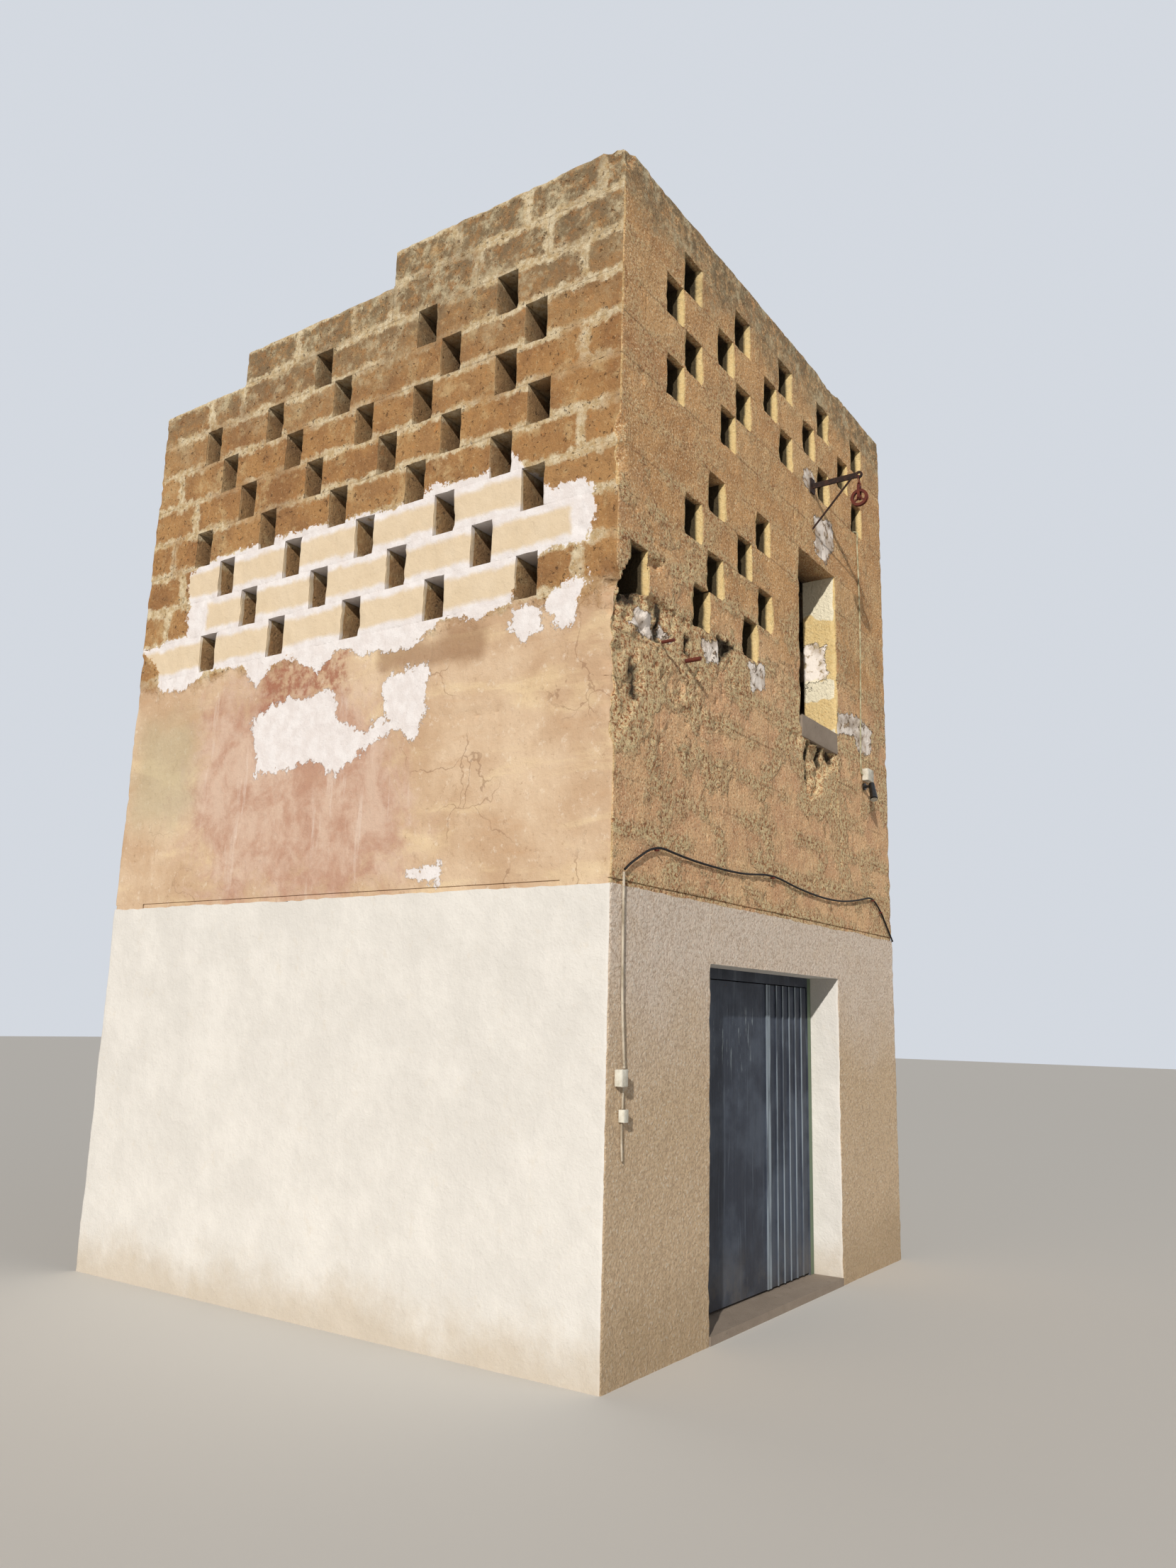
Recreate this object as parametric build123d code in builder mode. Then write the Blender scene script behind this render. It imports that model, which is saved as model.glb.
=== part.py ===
from build123d import *
import math
import os

os.makedirs("parts", exist_ok=True)

# A square stone dovecote. Millimetres, +Z up. The origin is on the ground at the
# centre of the plan, and the door face looks along -Y.

# Masonry
WIDTH = 3880.0            # outer side of the square plan
COURSE = 250.0            # height of one course of blocks
WALL = 250.0              # upper walls, one block thick
LOWER_WALL = 300.0        # rendered lower storey, with a ledge inside at its top
LOWER_COURSES = 9         # courses behind the render
PLAIN_TOP = 15            # first course with pigeon holes
FRONT_TOP = 24            # courses below the top course of the door face
PARAPET = 150.0           # thickness of that top course
STEP_HIGH = 1690.0        # the highest step of a side wall ends here, from the door face
STEP_LOW = 3037.0         # the middle step ends here

# Pigeon holes: course number, then (first hole, pitch, count) along a wall of HOLE_PLAN
# width, measured from the door face's left corner, or from the door face on other walls
HOLE_PLAN = 3880.0
FRONT_HOLE = 165.0        # width of a hole in the door face
SIDE_HOLE = 140.0         # width of a hole in the other walls
FRONT_HOLES = {
    15: [(817.0, 620.0, 2)],
    16: [(979.0, 666.0, 2)],
    17: [(715.0, 651.0, 2)],
    18: [(1002.0, 624.0, 2)],
    19: [],
    20: [(493.0, 646.0, 2)],
    21: [(710.0, 640.0, 5)],
    22: [(485.0, 630.0, 5)],
    23: [(694.0, 647.0, 5)],
}
SIDE_HOLES = {
    15: [(507.0, 649.0, 5)],
    16: [(826.0, 637.0, 4)],
    17: [(487.0, 624.0, 5)],
    18: [(716.0, 632.0, 5)],
    19: [(468.0, 627.0, 2), (1592.0, 622.0, 3)],
    20: [(706.0, 617.0, 2), (1801.0, 622.0, 3)],
    21: [(507.0, 617.0, 2), (2010.0, 617.0, 3)],
    22: [(716.0, 607.0, 2), (2199.0, 617.0, 1)],
}
CAVITY_COURSE = 15        # course with the broken-out corner block
CAVITY_START = 150.0
CAVITY_WIDTH = 150.0

# Doorway and door
DOOR_LEFT = 1010.0        # left side of the doorway, from the left corner
DOOR_WIDTH = 1780.0
DOOR_HEAD = 1900.0
THRESHOLD = 45.0
FRAME_DEPTH_IN = 200.0    # the frame's face lies this far behind the door face
FRAME_SIDE = 60.0         # width of a frame post
FRAME_THICK = 45.0
LEAF_THICK = 40.0
LEAF_GAP = 6.0            # between a leaf and its frame post or head
FLOOR_GAP = 15.0          # under the leaves
MEETING_GAP = 10.0
LEFT_SHARE = 0.64         # the wide plain leaf's share of both leaves
RIB_WIDTH = 12.0          # ribs of the narrow leaf
RIB_PROUD = 8.0
RIB_COUNT = 5
STILE = 24.0              # raised strip along each meeting edge
LEDGE_HEIGHT = 110.0      # rails across the back of a leaf
LEDGE_THICK = 24.0
LEDGE_SET_IN = 45.0
LEDGE_LEVELS = (0.14, 0.5, 0.86)
HINGE_LEVELS = (0.22, 0.78)
EYE_R = 11.0
EYE_BORE_R = 6.0
PIN_R = 5.4
EYE_HEIGHT = 44.0
STRAP_THICK = 8.0
STRAP_HEIGHT = 36.0
STRAP_LENGTH = 330.0
PINTLE_BLOCK = 26.0       # height of the block under a hinge eye
PINTLE_GRIP = 34.0        # width of the block on the back of the post
PIN_GAP = 1.0

# Loading window, sill and broken masonry below it
WINDOW_LEFT = 2265.0
WINDOW_WIDTH = 605.0
WINDOW_COURSES = 19       # the window's head lies on top of this many courses
SILL_TOP = 3590.0
SILL_HEIGHT = 150.0
SILL_PROUD = 8.0
BESIDE_SILL_COURSES = 12  # the stretches beside the sill start on this course
BROKEN_SET_IN = 45.0      # the broken masonry lies this far behind the face

# Floors
FLOOR_THICK = 45.0
BEAM_COUNT = 6
BEAM_WIDTH = 110.0
BEAM_DEPTH = 140.0
BEAM_MARGIN = 180.0       # from a wall to the first beam's centre
FLOOR_BOARD = 25.0

# Roof: one slope that falls to the back wall
BACK_TOP = 22             # courses in the back wall
RAFTER_COUNT = 5
RAFTER_WIDTH = 90.0
RAFTER_DEPTH = 70.0
RAFTER_MARGIN = 200.0
ROOF_BOARD = 20.0
TILE_DEPTH = 65.0         # from the boards to the crowns of the cover tiles
PAN_DEPTH = 27.0          # from the boards to the pans between them
TILE_COLUMNS = 16         # columns of cover tiles
COVER_WIDTH = 150.0       # a cover tile's width where it meets the pans
EAVE = 70.0               # the tiles run past the back wall by this much

# Hoist bracket and pulley
HOIST_X = 2482.0          # from the left corner
ARM_Z = 5283.0            # centre line of the arm
ARM_REACH = 341.0         # from the wall to the centre of the end ring
ARM_HEIGHT = 38.0
ARM_THICK = 12.0
RING_R = 26.0
RING_HOLE_R = 11.0
PLATE_WIDTH = 70.0
PLATE_HEIGHT = 110.0
PLATE_THICK = 8.0
STAY_REACH = 275.0        # where the stay meets the arm
STAY_DROP = 311.0         # below the arm's centre line, at the wall
STAY_THICK = 14.0
STAY_WIDTH = 10.0
PULLEY_DROP = 169.0       # from the arm's centre line to the pulley's axle
WHEEL_R = 60.0
GROOVE_R = 49.0
RIM_INNER_R = 41.0
WHEEL_HALF = 11.0         # half the wheel's width
HUB_R = 14.0
HUB_HALF = 15.0
HUB_BORE_R = 5.5
AXLE_R = 5.0
SPOKES = 3
SPOKE_WIDTH = 11.0
SPOKE_THICK = 8.0
SPOKE_SINK = 2.0          # each end of a spoke is sunk this far into hub and rim
CHEEK_IN = 16.0           # a cheek's inner face, from the wheel's middle plane
CHEEK_THICK = 4.0
CHEEK_WIDTH = 18.0
HEAD_GAP = 8.0            # between the wheel and the fork's head
HEAD_HEIGHT = 21.0
EYELET_R = 13.0
EYELET_HOLE_R = 7.0
EYELET_THICK = 8.0
EYELET_SINK = 2.0         # the eyelet's lowest part is sunk this far into the head
LINK_R = 4.0
LINK_SEAT = 0.3
LINK_HALF = 14.0          # half the link's width between its wires' centre lines
LINK_CORNER = 9.0

# Fittings on the door face, from the left corner and up from the ground. Each box is
# given as x, z, width, height and depth, and each peg as x, z, length and radius
CORNER_BOXES = [(118.0, 1330.0, 104.0, 78.0, 45.0), (137.0, 1160.0, 66.0, 66.0, 34.0)]

# The pale cable comes out of a pigeon hole and drops to a junction box and a lamp. These
# lie this far along from that hole's left edge, and up from the ground
CABLE_COURSE = 21
JUNCTION_BOX = (108.0, 3385.0, 115.0, 90.0, 45.0)
LAMP_X = 75.0
LAMP_Z = 3298.0
LAMP_FOOT_R = 26.0
LAMP_FOOT = 14.0
LAMP_ARM_R = 11.0
LAMP_REACH = 62.0
LAMP_TOP_R = 20.0
LAMP_LOW_R = 28.0
LAMP_LENGTH = 135.0
LAMP_AIM = (-50.0, -35.0, -130.0)
CONDUIT_R = 9.0
CONDUIT_RUNS = [((108.0, 2288.0), (146.0, 1370.0)), ((138.0, 1290.0), (138.0, 1194.0)),
                ((140.0, 1126.0), (141.0, 1000.0))]
PALE_CABLE_R = 5.0
PALE_CABLE = [(36.0, -80.0, 5255.3), (36.0, 20.0, 5266.0), (43.0, 5.3, 5190.0),
              (59.0, 5.3, 4900.0), (67.0, 5.3, 4582.0), (54.0, 5.3, 4180.0),
              (14.0, 5.3, 3500.0), (16.0, 5.3, 3385.0), (50.2, 5.3, 3385.0)]
CABLE_R = 6.0
CABLE_ROUTE = [           # x, z, and whether a nail holds the cable up there
    (112.0, 2298.0, False), (169.0, 2337.0, False), (395.0, 2455.0, True),
    (753.0, 2427.0, False), (1141.0, 2421.0, False), (1404.0, 2428.0, False),
    (1765.0, 2469.0, True), (2158.0, 2426.0, False), (2541.0, 2408.0, False),
    (2846.0, 2416.0, False), (3106.0, 2446.0, False), (3440.0, 2505.0, True),
    (3607.0, 2424.0, True), (3846.0, 2220.0, False),
]
NAIL_R = 5.0
NAIL_LENGTH = 24.0
PEGS = [(445.0, 3537.0, 74.0, 9.0), (702.0, 3506.0, 92.0, 12.0)]
SEAT = 0.3                # small seat clearance of round pieces on the wall

# Places worked out from the sizes above
HALF = WIDTH / 2
FACE = -HALF              # the door face
LOWER_TOP = LOWER_COURSES * COURSE
PLAIN_Z = PLAIN_TOP * COURSE
PARAPET_Z = FRONT_TOP * COURSE
BACK_Z = BACK_TOP * COURSE
DOOR_RIGHT = DOOR_LEFT + DOOR_WIDTH
WINDOW_RIGHT = WINDOW_LEFT + WINDOW_WIDTH
SILL_LOW = SILL_TOP - SILL_HEIGHT
BESIDE_SILL_Z = BESIDE_SILL_COURSES * COURSE


def across(distance):
    """Row position of a distance from the door face's left corner, or from that face."""
    return distance - HALF


def plan_box(side, start, end, outer, inner):
    """Centre and size in plan of a stretch of wall on one side of the tower."""
    middle = across((start + end) / 2)
    depth = HALF - (outer + inner) / 2
    length = end - start
    thick = inner - outer
    return {
        "front": ((middle, -depth), (length, thick)),
        "back": ((middle, depth), (length, thick)),
        "left": ((-depth, middle), (thick, length)),
        "right": ((depth, middle), (thick, length)),
    }[side]


def wall(name, sides, thickness=WALL, outer=0.0):
    """Plain masses of masonry: for each side, its stretches as (start, end, bottom, top)."""
    with BuildPart() as piece:
        for side, stretches in sides.items():
            for start, end, bottom, top in stretches:
                centre, size = plan_box(side, start, end, outer, thickness)
                with BuildSketch(Plane.XY.offset(bottom)):
                    with Locations(centre):
                        Rectangle(*size)
                extrude(amount=top - bottom)
    finish(piece, name)


def finish(piece, name):
    """Label a piece and write it out."""
    piece.part.label = name
    export_step(piece.part, f"parts/{name}.step")


def hole_edges(rows, width):
    """Start and end of each pigeon hole in one course."""
    fit = WIDTH / HOLE_PLAN
    starts = [(first + pitch * k) * fit for first, pitch, count in rows for k in range(count)]
    return [(start, start + width) for start in starts]


def solid_stretches(gaps, start, end):
    """What is left of a course between its gaps."""
    edges = [start]
    for low, high in sorted(gaps):
        edges += [low, high]
    edges.append(end)
    return list(zip(edges[0::2], edges[1::2]))


def course_stretches(course, gaps, start, end):
    """The blocks of one course, with their levels."""
    return [(low, high, course * COURSE, (course + 1) * COURSE)
            for low, high in solid_stretches(gaps, start, end)]


def front_course(course):
    """Blocks of a door-face course, split by its holes, the window and the cavity."""
    gaps = hole_edges(FRONT_HOLES[course], FRONT_HOLE)
    if course < WINDOW_COURSES:
        gaps.append((WINDOW_LEFT, WINDOW_RIGHT))
    if course == CAVITY_COURSE:
        gaps.append((CAVITY_START, CAVITY_START + CAVITY_WIDTH))
    return course_stretches(course, gaps, 0.0, WIDTH)


def side_course(course):
    """Blocks of a side-wall course between the door-face wall and the back wall."""
    end = WIDTH if course >= BACK_TOP else WIDTH - WALL
    return course_stretches(course, hole_edges(SIDE_HOLES[course], SIDE_HOLE), WALL, end)


def back_course(course):
    """Blocks of a back-wall course, which repeats the holes of the side walls."""
    return course_stretches(course, hole_edges(SIDE_HOLES[course], SIDE_HOLE), 0.0, WIDTH)


def every_other(make, courses, first):
    """Blocks of every other course, so that no two of them touch."""
    return [block for course in sorted(courses)[first::2] for block in make(course)]


# Lower storey, rendered outside
wall("front_piers", {"front": [(0.0, DOOR_LEFT, 0.0, LOWER_TOP),
                               (DOOR_RIGHT, WIDTH, 0.0, LOWER_TOP)]}, LOWER_WALL)
wall("door_lintel", {"front": [(DOOR_LEFT, DOOR_RIGHT, DOOR_HEAD, LOWER_TOP)]}, LOWER_WALL)
wall("door_threshold", {"front": [(DOOR_LEFT, DOOR_RIGHT, 0.0, THRESHOLD)]}, LOWER_WALL)
lower_side = [(LOWER_WALL, WIDTH - LOWER_WALL, 0.0, LOWER_TOP)]
wall("side_walls_lower", {"left": lower_side, "right": lower_side}, LOWER_WALL)
wall("back_wall_lower", {"back": [(0.0, WIDTH, 0.0, LOWER_TOP)]}, LOWER_WALL)

# Plain courses between the render and the pigeon holes
wall("front_wall_middle", {"front": [(0.0, WIDTH, LOWER_TOP, BESIDE_SILL_Z)]})
wall("front_wall_beside_sill",
     {"front": [(0.0, WINDOW_LEFT, BESIDE_SILL_Z, PLAIN_Z),
                (WINDOW_RIGHT, WIDTH, BESIDE_SILL_Z, PLAIN_Z)]})
wall("broken_masonry",
     {"front": [(WINDOW_LEFT, WINDOW_RIGHT, BESIDE_SILL_Z, SILL_LOW)]}, WALL, BROKEN_SET_IN)
wall("window_sill",
     {"front": [(WINDOW_LEFT, WINDOW_RIGHT, SILL_LOW, SILL_TOP)]}, WALL, -SILL_PROUD)
middle_side = [(WALL, WIDTH - WALL, LOWER_TOP, PLAIN_Z)]
wall("side_walls_middle", {"left": middle_side, "right": middle_side})
wall("back_wall_middle", {"back": [(0.0, WIDTH, LOWER_TOP, PLAIN_Z)]})

# Courses with the chequer of pigeon holes. Every other course is a piece of its own, so
# that the blocks of one piece don't touch
back_courses = [course for course in SIDE_HOLES if course < BACK_TOP]
for first, letter in enumerate("ab"):
    wall(f"front_hole_courses_{letter}",
         {"front": every_other(front_course, FRONT_HOLES, first)})
    side_blocks = every_other(side_course, SIDE_HOLES, first)
    wall(f"side_hole_courses_{letter}", {"left": side_blocks, "right": side_blocks})
    wall(f"back_hole_courses_{letter}",
         {"back": every_other(back_course, back_courses, first)})

# Top course of the door face, and the stepped tops of the side walls
wall("front_parapet", {"front": [(0.0, WIDTH, PARAPET_Z, PARAPET_Z + COURSE)]}, PARAPET)
side_top = (max(SIDE_HOLES) + 1) * COURSE
step_profile = [
    (across(WALL), side_top),
    (across(STEP_LOW), side_top),
    (across(STEP_LOW), side_top + COURSE),
    (across(STEP_HIGH), side_top + COURSE),
    (across(STEP_HIGH), side_top + 2 * COURSE),
    (across(PARAPET), side_top + 2 * COURSE),
    (across(PARAPET), side_top + COURSE),
    (across(WALL), side_top + COURSE),
]
with BuildPart() as crow_steps:
    for face_x in (-HALF, HALF - WALL):
        with BuildSketch(Plane.YZ.offset(face_x)):
            with BuildLine():
                Polyline(*step_profile, close=True)
            make_face()
        extrude(amount=WALL)
finish(crow_steps, "crow_steps")

# Ground floor inside the walls
INSIDE = WIDTH - 2 * LOWER_WALL
with BuildPart() as ground_floor:
    with BuildSketch(Plane.XY):
        Rectangle(INSIDE, INSIDE)
    extrude(amount=FLOOR_THICK)
finish(ground_floor, "ground_floor")

# Upper floor: beams on the ledges of the lower walls, and boards across them
BEAM_SPAN = WIDTH - 2 * WALL
beam_pitch = (BEAM_SPAN - 2 * BEAM_MARGIN) / (BEAM_COUNT - 1)
with BuildPart() as upper_floor_beams:
    with BuildSketch(Plane.XY.offset(LOWER_TOP)):
        with GridLocations(0, beam_pitch, 1, BEAM_COUNT):
            Rectangle(BEAM_SPAN, BEAM_WIDTH)
    extrude(amount=BEAM_DEPTH)
finish(upper_floor_beams, "upper_floor_beams")

with BuildPart() as upper_floor_boards:
    with BuildSketch(Plane.XY.offset(LOWER_TOP + BEAM_DEPTH)):
        Rectangle(BEAM_SPAN, BEAM_SPAN)
    extrude(amount=FLOOR_BOARD)
finish(upper_floor_boards, "upper_floor_boards")

# Roof: rafters from the shelf behind the top course to the back wall, boards and tiles
roof_run = WIDTH - 2 * WALL
roof_slope = (PARAPET_Z - BACK_Z) / roof_run
slope_stretch = math.hypot(1.0, roof_slope)


def roof_level(distance, above):
    """Height of a plane this far above the rafters' underside, at a distance from the face."""
    return PARAPET_Z - roof_slope * (distance - WALL) + above * slope_stretch


rafter_profile = [
    (across(PARAPET), PARAPET_Z),
    (across(WALL), PARAPET_Z),
    (across(WIDTH - WALL), BACK_Z),
    (across(WIDTH), BACK_Z),
    (across(WIDTH), roof_level(WIDTH, RAFTER_DEPTH)),
    (across(PARAPET), roof_level(PARAPET, RAFTER_DEPTH)),
]
rafter_pitch = (roof_run - 2 * RAFTER_MARGIN) / (RAFTER_COUNT - 1)
with BuildPart() as roof_rafters:
    for k in range(RAFTER_COUNT):
        low_x = across(WALL + RAFTER_MARGIN + k * rafter_pitch - RAFTER_WIDTH / 2)
        with BuildSketch(Plane.YZ.offset(low_x)):
            with BuildLine():
                Polyline(*rafter_profile, close=True)
            make_face()
        extrude(amount=RAFTER_WIDTH)
finish(roof_rafters, "roof_rafters")


def roof_layer(name, below, above, end):
    """A sloping layer of the roof between two heights above the rafters' underside."""
    outline = [
        (across(PARAPET), roof_level(PARAPET, below)),
        (across(end), roof_level(end, below)),
        (across(end), roof_level(end, above)),
        (across(PARAPET), roof_level(PARAPET, above)),
    ]
    with BuildPart() as layer:
        with BuildSketch(Plane.YZ.offset(across(WALL))):
            with BuildLine():
                Polyline(*outline, close=True)
            make_face()
        extrude(amount=roof_run)
    finish(layer, name)


BOARD_TOP = RAFTER_DEPTH + ROOF_BOARD
roof_layer("roof_boards", RAFTER_DEPTH, BOARD_TOP, WIDTH)

# Tiles: pans side by side, with a rounded cover over each joint between them
boards_z = roof_level(PARAPET, BOARD_TOP)
pans_z = roof_level(PARAPET, BOARD_TOP + PAN_DEPTH)
crowns_z = roof_level(PARAPET, BOARD_TOP + TILE_DEPTH)
cover_rise = crowns_z - pans_z
cover_r = (COVER_WIDTH**2 / 4 + cover_rise**2) / (2 * cover_rise)
with BuildPart() as roof_tiles:
    with BuildSketch(Plane.XZ.offset(-across(PARAPET))):
        with Locations((0, crowns_z - cover_r)):
            with GridLocations(roof_run / TILE_COLUMNS, 0, TILE_COLUMNS, 1):
                Circle(cover_r)
        with Locations((0, (pans_z + crowns_z) / 2)):
            Rectangle(roof_run, cover_rise, mode=Mode.INTERSECT)
        with Locations((0, (boards_z + pans_z) / 2)):
            Rectangle(roof_run, pans_z - boards_z)
    tile_run = WIDTH + EAVE - PARAPET
    extrude(amount=tile_run * slope_stretch, dir=(0, 1, -roof_slope))
finish(roof_tiles, "roof_tiles")

# Door frame in the reveal
frame_front = across(FRAME_DEPTH_IN)
frame_back = frame_front + FRAME_THICK
post_x = (across(DOOR_LEFT + FRAME_SIDE / 2), across(DOOR_RIGHT - FRAME_SIDE / 2))
frame_mid = (frame_front + frame_back) / 2
with BuildPart() as door_frame_posts:
    with BuildSketch(Plane.XY.offset(THRESHOLD)):
        with Locations(*[(x, frame_mid) for x in post_x]):
            Rectangle(FRAME_SIDE, FRAME_THICK)
    extrude(amount=DOOR_HEAD - FRAME_SIDE - THRESHOLD)
finish(door_frame_posts, "door_frame_posts")

with BuildPart() as door_frame_head:
    with BuildSketch(Plane.XY.offset(DOOR_HEAD - FRAME_SIDE)):
        with Locations((across(DOOR_LEFT + DOOR_WIDTH / 2), frame_mid)):
            Rectangle(DOOR_WIDTH, FRAME_THICK)
    extrude(amount=FRAME_SIDE)
finish(door_frame_head, "door_frame_head")

# Leaves: each hangs on pintles behind its frame post and opens inwards
leaf_low = THRESHOLD + FLOOR_GAP
leaf_high = DOOR_HEAD - FRAME_SIDE - LEAF_GAP
leaf_height = leaf_high - leaf_low
leaf_back = frame_back
leaf_front = leaf_back - LEAF_THICK
left_pivot = across(DOOR_LEFT + FRAME_SIDE + LEAF_GAP)
right_pivot = across(DOOR_RIGHT - FRAME_SIDE - LEAF_GAP)
pivot_y = leaf_back + LEAF_GAP + EYE_R
leaves = right_pivot - left_pivot - MEETING_GAP
left_leaf = LEFT_SHARE * leaves
right_leaf = leaves - left_leaf


def leaf(name, pivot, direction, width, ribs):
    """A door leaf with a raised meeting strip, ribs on its face and rails on its back."""
    centre_x = pivot + direction * width / 2
    strip_x = pivot + direction * (width - STILE / 2)
    ledge_x = pivot + direction * (LEDGE_SET_IN + width) / 2
    ledge_width = width - 3 * LEDGE_SET_IN
    with BuildPart() as piece:
        with BuildSketch(Plane.XY.offset(leaf_low)):
            with Locations((centre_x, leaf_back - LEAF_THICK / 2)):
                Rectangle(width, LEAF_THICK)
            with Locations((strip_x, leaf_front - RIB_PROUD / 2)):
                Rectangle(STILE, RIB_PROUD)
            with Locations(*[(x, leaf_front - RIB_PROUD / 2) for x in ribs]):
                Rectangle(RIB_WIDTH, RIB_PROUD)
        extrude(amount=leaf_height)
        for level in LEDGE_LEVELS:
            with BuildSketch(Plane.XZ.offset(-leaf_back)):
                with Locations((ledge_x, leaf_low + level * leaf_height)):
                    Rectangle(ledge_width, LEDGE_HEIGHT)
            extrude(amount=-LEDGE_THICK)
    finish(piece, name)


rib_pitch = (right_leaf - STILE) / (RIB_COUNT + 1)
right_ribs = [right_pivot - k * rib_pitch for k in range(1, RIB_COUNT + 1)]
left_ribs = [left_pivot + RIB_WIDTH]
leaf("door_leaf_left", left_pivot, 1, left_leaf, left_ribs)
leaf("door_leaf_right", right_pivot, -1, right_leaf, right_ribs)


def hinge_straps(name, pivot, direction):
    """Strap hinges: a flat strap on the leaf's back, rolled into an eye round its pin."""
    strap_x = pivot + direction * STRAP_LENGTH / 2
    with BuildPart() as piece:
        for level in HINGE_LEVELS:
            middle = leaf_low + level * leaf_height
            with BuildSketch(Plane.XZ.offset(-leaf_back)):
                with Locations((strap_x, middle)):
                    Rectangle(STRAP_LENGTH, STRAP_HEIGHT)
            extrude(amount=-STRAP_THICK)
            with BuildSketch(Plane.XY.offset(middle - EYE_HEIGHT / 2)):
                with Locations((pivot, pivot_y)):
                    Circle(EYE_R)
            extrude(amount=EYE_HEIGHT)
            with BuildSketch(Plane.XY.offset(middle - EYE_HEIGHT / 2)):
                with Locations((pivot, pivot_y)):
                    Circle(EYE_BORE_R)
            extrude(amount=EYE_HEIGHT, mode=Mode.SUBTRACT)
    finish(piece, name)


hinge_straps("door_straps_left", left_pivot, 1)
hinge_straps("door_straps_right", right_pivot, -1)

# Pintles: a block on the back of each post reaches out to a boss, and the boss carries the
# pin that a strap's eye turns on
block_depth = pivot_y + EYE_R - frame_back
with BuildPart() as door_pintles:
    for pivot, direction in ((left_pivot, 1), (right_pivot, -1)):
        post_edge = pivot - direction * LEAF_GAP
        block_x = post_edge - direction * PINTLE_GRIP / 2
        for level in HINGE_LEVELS:
            eye_low = leaf_low + level * leaf_height - EYE_HEIGHT / 2
            block_top = eye_low - PIN_GAP
            with BuildSketch(Plane.XY.offset(block_top - PINTLE_BLOCK)):
                with Locations((block_x, frame_back + block_depth / 2)):
                    Rectangle(PINTLE_GRIP, block_depth)
                with Locations((pivot - direction * LEAF_GAP / 2, pivot_y)):
                    Rectangle(LEAF_GAP, 2 * EYE_R)
                with Locations((pivot, pivot_y)):
                    Circle(EYE_R)
            extrude(amount=PINTLE_BLOCK)
            with BuildSketch(Plane.XY.offset(block_top)):
                with Locations((pivot, pivot_y)):
                    Circle(PIN_R)
            extrude(amount=EYE_HEIGHT + PIN_GAP)
finish(door_pintles, "door_pintles")

# Hoist bracket: an arm on a wall plate, with an end ring, and a stay below it
hoist = across(HOIST_X)
ring_y = FACE - ARM_REACH
with BuildPart() as hoist_arm:
    with BuildSketch(Plane.XZ.offset(-FACE)):
        with Locations((hoist, ARM_Z)):
            RectangleRounded(PLATE_WIDTH, PLATE_HEIGHT, PLATE_THICK)
    extrude(amount=PLATE_THICK)
    with BuildSketch(Plane.YZ.offset(hoist - ARM_THICK / 2)):
        with Locations(((FACE + ring_y) / 2, ARM_Z)):
            Rectangle(ARM_REACH, ARM_HEIGHT)
        with Locations((ring_y, ARM_Z)):
            Circle(RING_R)
            Circle(RING_HOLE_R, mode=Mode.SUBTRACT)
    extrude(amount=ARM_THICK)
finish(hoist_arm, "hoist_arm")

stay_top = ARM_Z - ARM_HEIGHT / 2
stay_foot = ARM_Z - STAY_DROP
stay_profile = [
    (FACE, stay_foot),
    (FACE, stay_foot - STAY_THICK),
    (FACE - STAY_REACH - STAY_THICK, stay_top),
    (FACE - STAY_REACH, stay_top),
]
with BuildPart() as hoist_stay:
    with BuildSketch(Plane.YZ.offset(hoist - STAY_WIDTH / 2)):
        with BuildLine():
            Polyline(*stay_profile, close=True)
        make_face()
    extrude(amount=STAY_WIDTH)
finish(hoist_stay, "hoist_stay")

# Link through the arm's ring and the fork's eyelet
axle_z = ARM_Z - PULLEY_DROP
head_low = axle_z + WHEEL_R + HEAD_GAP
eyelet_z = head_low + HEAD_HEIGHT + EYELET_R - EYELET_SINK
link_top = ARM_Z - RING_HOLE_R + LINK_R + LINK_SEAT
link_low = eyelet_z + EYELET_HOLE_R - LINK_R - LINK_SEAT
with BuildPart() as hoist_link:
    with BuildLine(Plane.XZ.offset(-ring_y)) as link_path:
        FilletPolyline((hoist - LINK_HALF, link_top), (hoist + LINK_HALF, link_top),
                       (hoist + LINK_HALF, link_low), (hoist - LINK_HALF, link_low),
                       radius=LINK_CORNER, close=True)
    with BuildSketch(Plane(origin=link_path.line @ 0, z_dir=link_path.line % 0)):
        Circle(LINK_R)
    sweep()
finish(hoist_link, "hoist_link")

# Pulley fork: eyelet, head and two cheeks with the axle through them
cheek_foot = axle_z - CHEEK_WIDTH / 2
with BuildPart() as pulley_fork:
    with BuildSketch(Plane.YZ.offset(hoist - EYELET_THICK / 2)):
        with Locations((ring_y, eyelet_z)):
            Circle(EYELET_R)
            Circle(EYELET_HOLE_R, mode=Mode.SUBTRACT)
    extrude(amount=EYELET_THICK)
    with BuildSketch(Plane.XY.offset(head_low)):
        with Locations((hoist, ring_y)):
            Rectangle(2 * (CHEEK_IN + CHEEK_THICK), CHEEK_WIDTH)
    extrude(amount=HEAD_HEIGHT)
    for cheek_x in (hoist - CHEEK_IN - CHEEK_THICK, hoist + CHEEK_IN):
        with BuildSketch(Plane.YZ.offset(cheek_x)):
            with Locations((ring_y, (head_low + axle_z) / 2)):
                Rectangle(CHEEK_WIDTH, head_low - axle_z)
            with Locations((ring_y, axle_z)):
                Circle(CHEEK_WIDTH / 2)
        extrude(amount=CHEEK_THICK)
    with BuildSketch(Plane.YZ.offset(hoist - CHEEK_IN - 2 * CHEEK_THICK)):
        with Locations((ring_y, axle_z)):
            Circle(AXLE_R)
    extrude(amount=2 * (CHEEK_IN + 2 * CHEEK_THICK))
finish(pulley_fork, "pulley_fork")

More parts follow.
